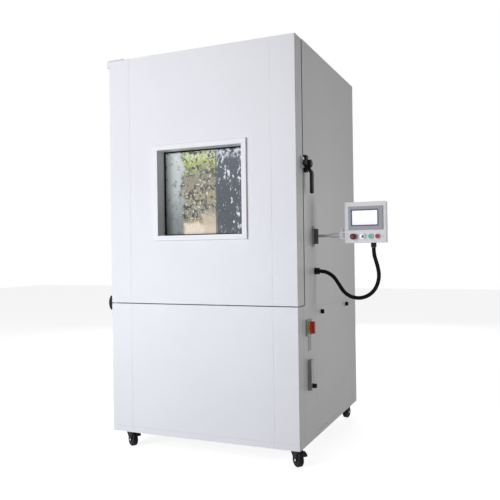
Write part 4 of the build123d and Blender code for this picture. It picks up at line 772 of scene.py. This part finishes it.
REAR = 1.100
rear_heights = (0.125, 0.330, 0.560, 0.765, 0.830, 1.240, 1.650, 2.045)
rear_places = [at(x, REAR, z) for x in (-0.505, 0.505) for z in rear_heights]
screws("rear_screw", rear_places, (0, 1, 0), "cabinet", 0.0040)

CASTORS = {
    "front_left": (-0.4735, 0.085, -30.0),
    "front_right": (0.4735, 0.085, -40.0),
    "rear_left": (-0.4735, 1.015, 65.0),
    "rear_right": (0.4735, 1.015, 80.0),
}
CASTOR_TRAIL = 0.026
AXLE_END = 0.0193
for name, (x, y, heading) in CASTORS.items():
    along = Vector((math.cos(math.radians(heading)), math.sin(math.radians(heading)), 0))
    across = Vector((-along.y, along.x, 0))
    bolts = [at(x + v * 0.026, y + w * 0.026, BODY_LOW - 0.003) for v in (-1, 1) for w in (-1, 1)]
    screws(f"castor_bolt_{name}", bolts, (0, 0, -1), "cabinet", 0.0042)
    for side in (-1, 1):
        end = at(x, y, 0.035) + along * CASTOR_TRAIL + across * side * (AXLE_END - 0.0015)
        screw(f"axle_nut_{name}_{side}", end, across * side, f"fork_{name}", 0.0066)


# Room light, world and floor


def area_light(name, place, target, size, power, colour=(1, 1, 1)):
    """Soft rectangular lamp that looks at a point."""
    data = bpy.data.lights.new(name, "AREA")
    data.shape = "RECTANGLE"
    data.size, data.size_y = size
    data.energy = power
    data.color = colour
    lamp = bpy.data.objects.new(name, data)
    bpy.context.scene.collection.objects.link(lamp)
    lamp.location = place
    lamp.rotation_euler = (Vector(target) - Vector(place)).to_track_quat("-Z", "Y").to_euler()
    return lamp


area_light("front_light", (-2.6, -5.6, 2.9), (-0.2, -0.3, 1.2), (3.6, 2.6), 139, (1.0, 0.98, 0.99))
area_light("low_front_light", (-2.2, -4.6, 0.6), (-0.2, -0.3, 0.4), (3.2, 1.0), 100, (0.84, 0.90, 1.0))
area_light("side_fill", (1.95, -0.25, 1.15), (0.35, -0.2, 1.15), (0.5, 0.5), 4.9, (1.0, 0.99, 0.95))
area_light("rear_light", (-1.6, 4.6, 2.4), (-0.1, 0.5, 1.1), (3.0, 2.4), 80)


def camera_rays(tree):
    """1 for rays from the camera and through or off metal and glass, 0 for light on surfaces."""
    path = tree.nodes.new("ShaderNodeLightPath")
    total = None
    for output in ("Is Camera Ray", "Is Glossy Ray", "Is Transmission Ray"):
        if total is None:
            total = path.outputs[output]
            continue
        greater = tree.nodes.new("ShaderNodeMath")
        greater.operation = "MAXIMUM"
        tree.links.new(total, greater.inputs[0])
        tree.links.new(path.outputs[output], greater.inputs[1])
        total = greater.outputs[0]
    return total


WORLD_LIGHT = 0.105
BACKDROP_LIGHT = 1.0
FLOOR_GREY = 0.55
FLOOR_GLOW = 0.85

world = bpy.data.worlds.new("studio")
bpy.context.scene.world = world
world.use_nodes = True
background = world.node_tree.nodes["Background"]
background.inputs["Color"].default_value = (1, 1, 1, 1)
strength = world.node_tree.nodes.new("ShaderNodeMapRange")
strength.inputs["To Min"].default_value = WORLD_LIGHT
strength.inputs["To Max"].default_value = BACKDROP_LIGHT
world.node_tree.links.new(camera_rays(world.node_tree), strength.inputs["Value"])
world.node_tree.links.new(strength.outputs["Result"], background.inputs["Strength"])

floor_mesh = bpy.data.meshes.new("floor")
floor_bm = bmesh.new()
bmesh.ops.create_grid(floor_bm, x_segments=1, y_segments=1, size=14.0)
floor_bm.to_mesh(floor_mesh)
floor_bm.free()
floor = bpy.data.objects.new("floor", floor_mesh)
bpy.context.scene.collection.objects.link(floor)
floor_look = Nodes("floor")
floor_look.set(Base_Color=(FLOOR_GREY, FLOOR_GREY, FLOOR_GREY, 1.0), Roughness=0.9)
floor_look.set(Emission_Color=(1, 1, 1, 1))
floor_glow = floor_look.math("MULTIPLY", camera_rays(floor_look.tree), FLOOR_GLOW)
floor_look.set(Emission_Strength=floor_glow)
floor_look.shader.inputs["Specular IOR Level"].default_value = 0.0
floor_mesh.materials.append(floor_look.material)

bpy.context.scene.view_settings.view_transform = "Standard"
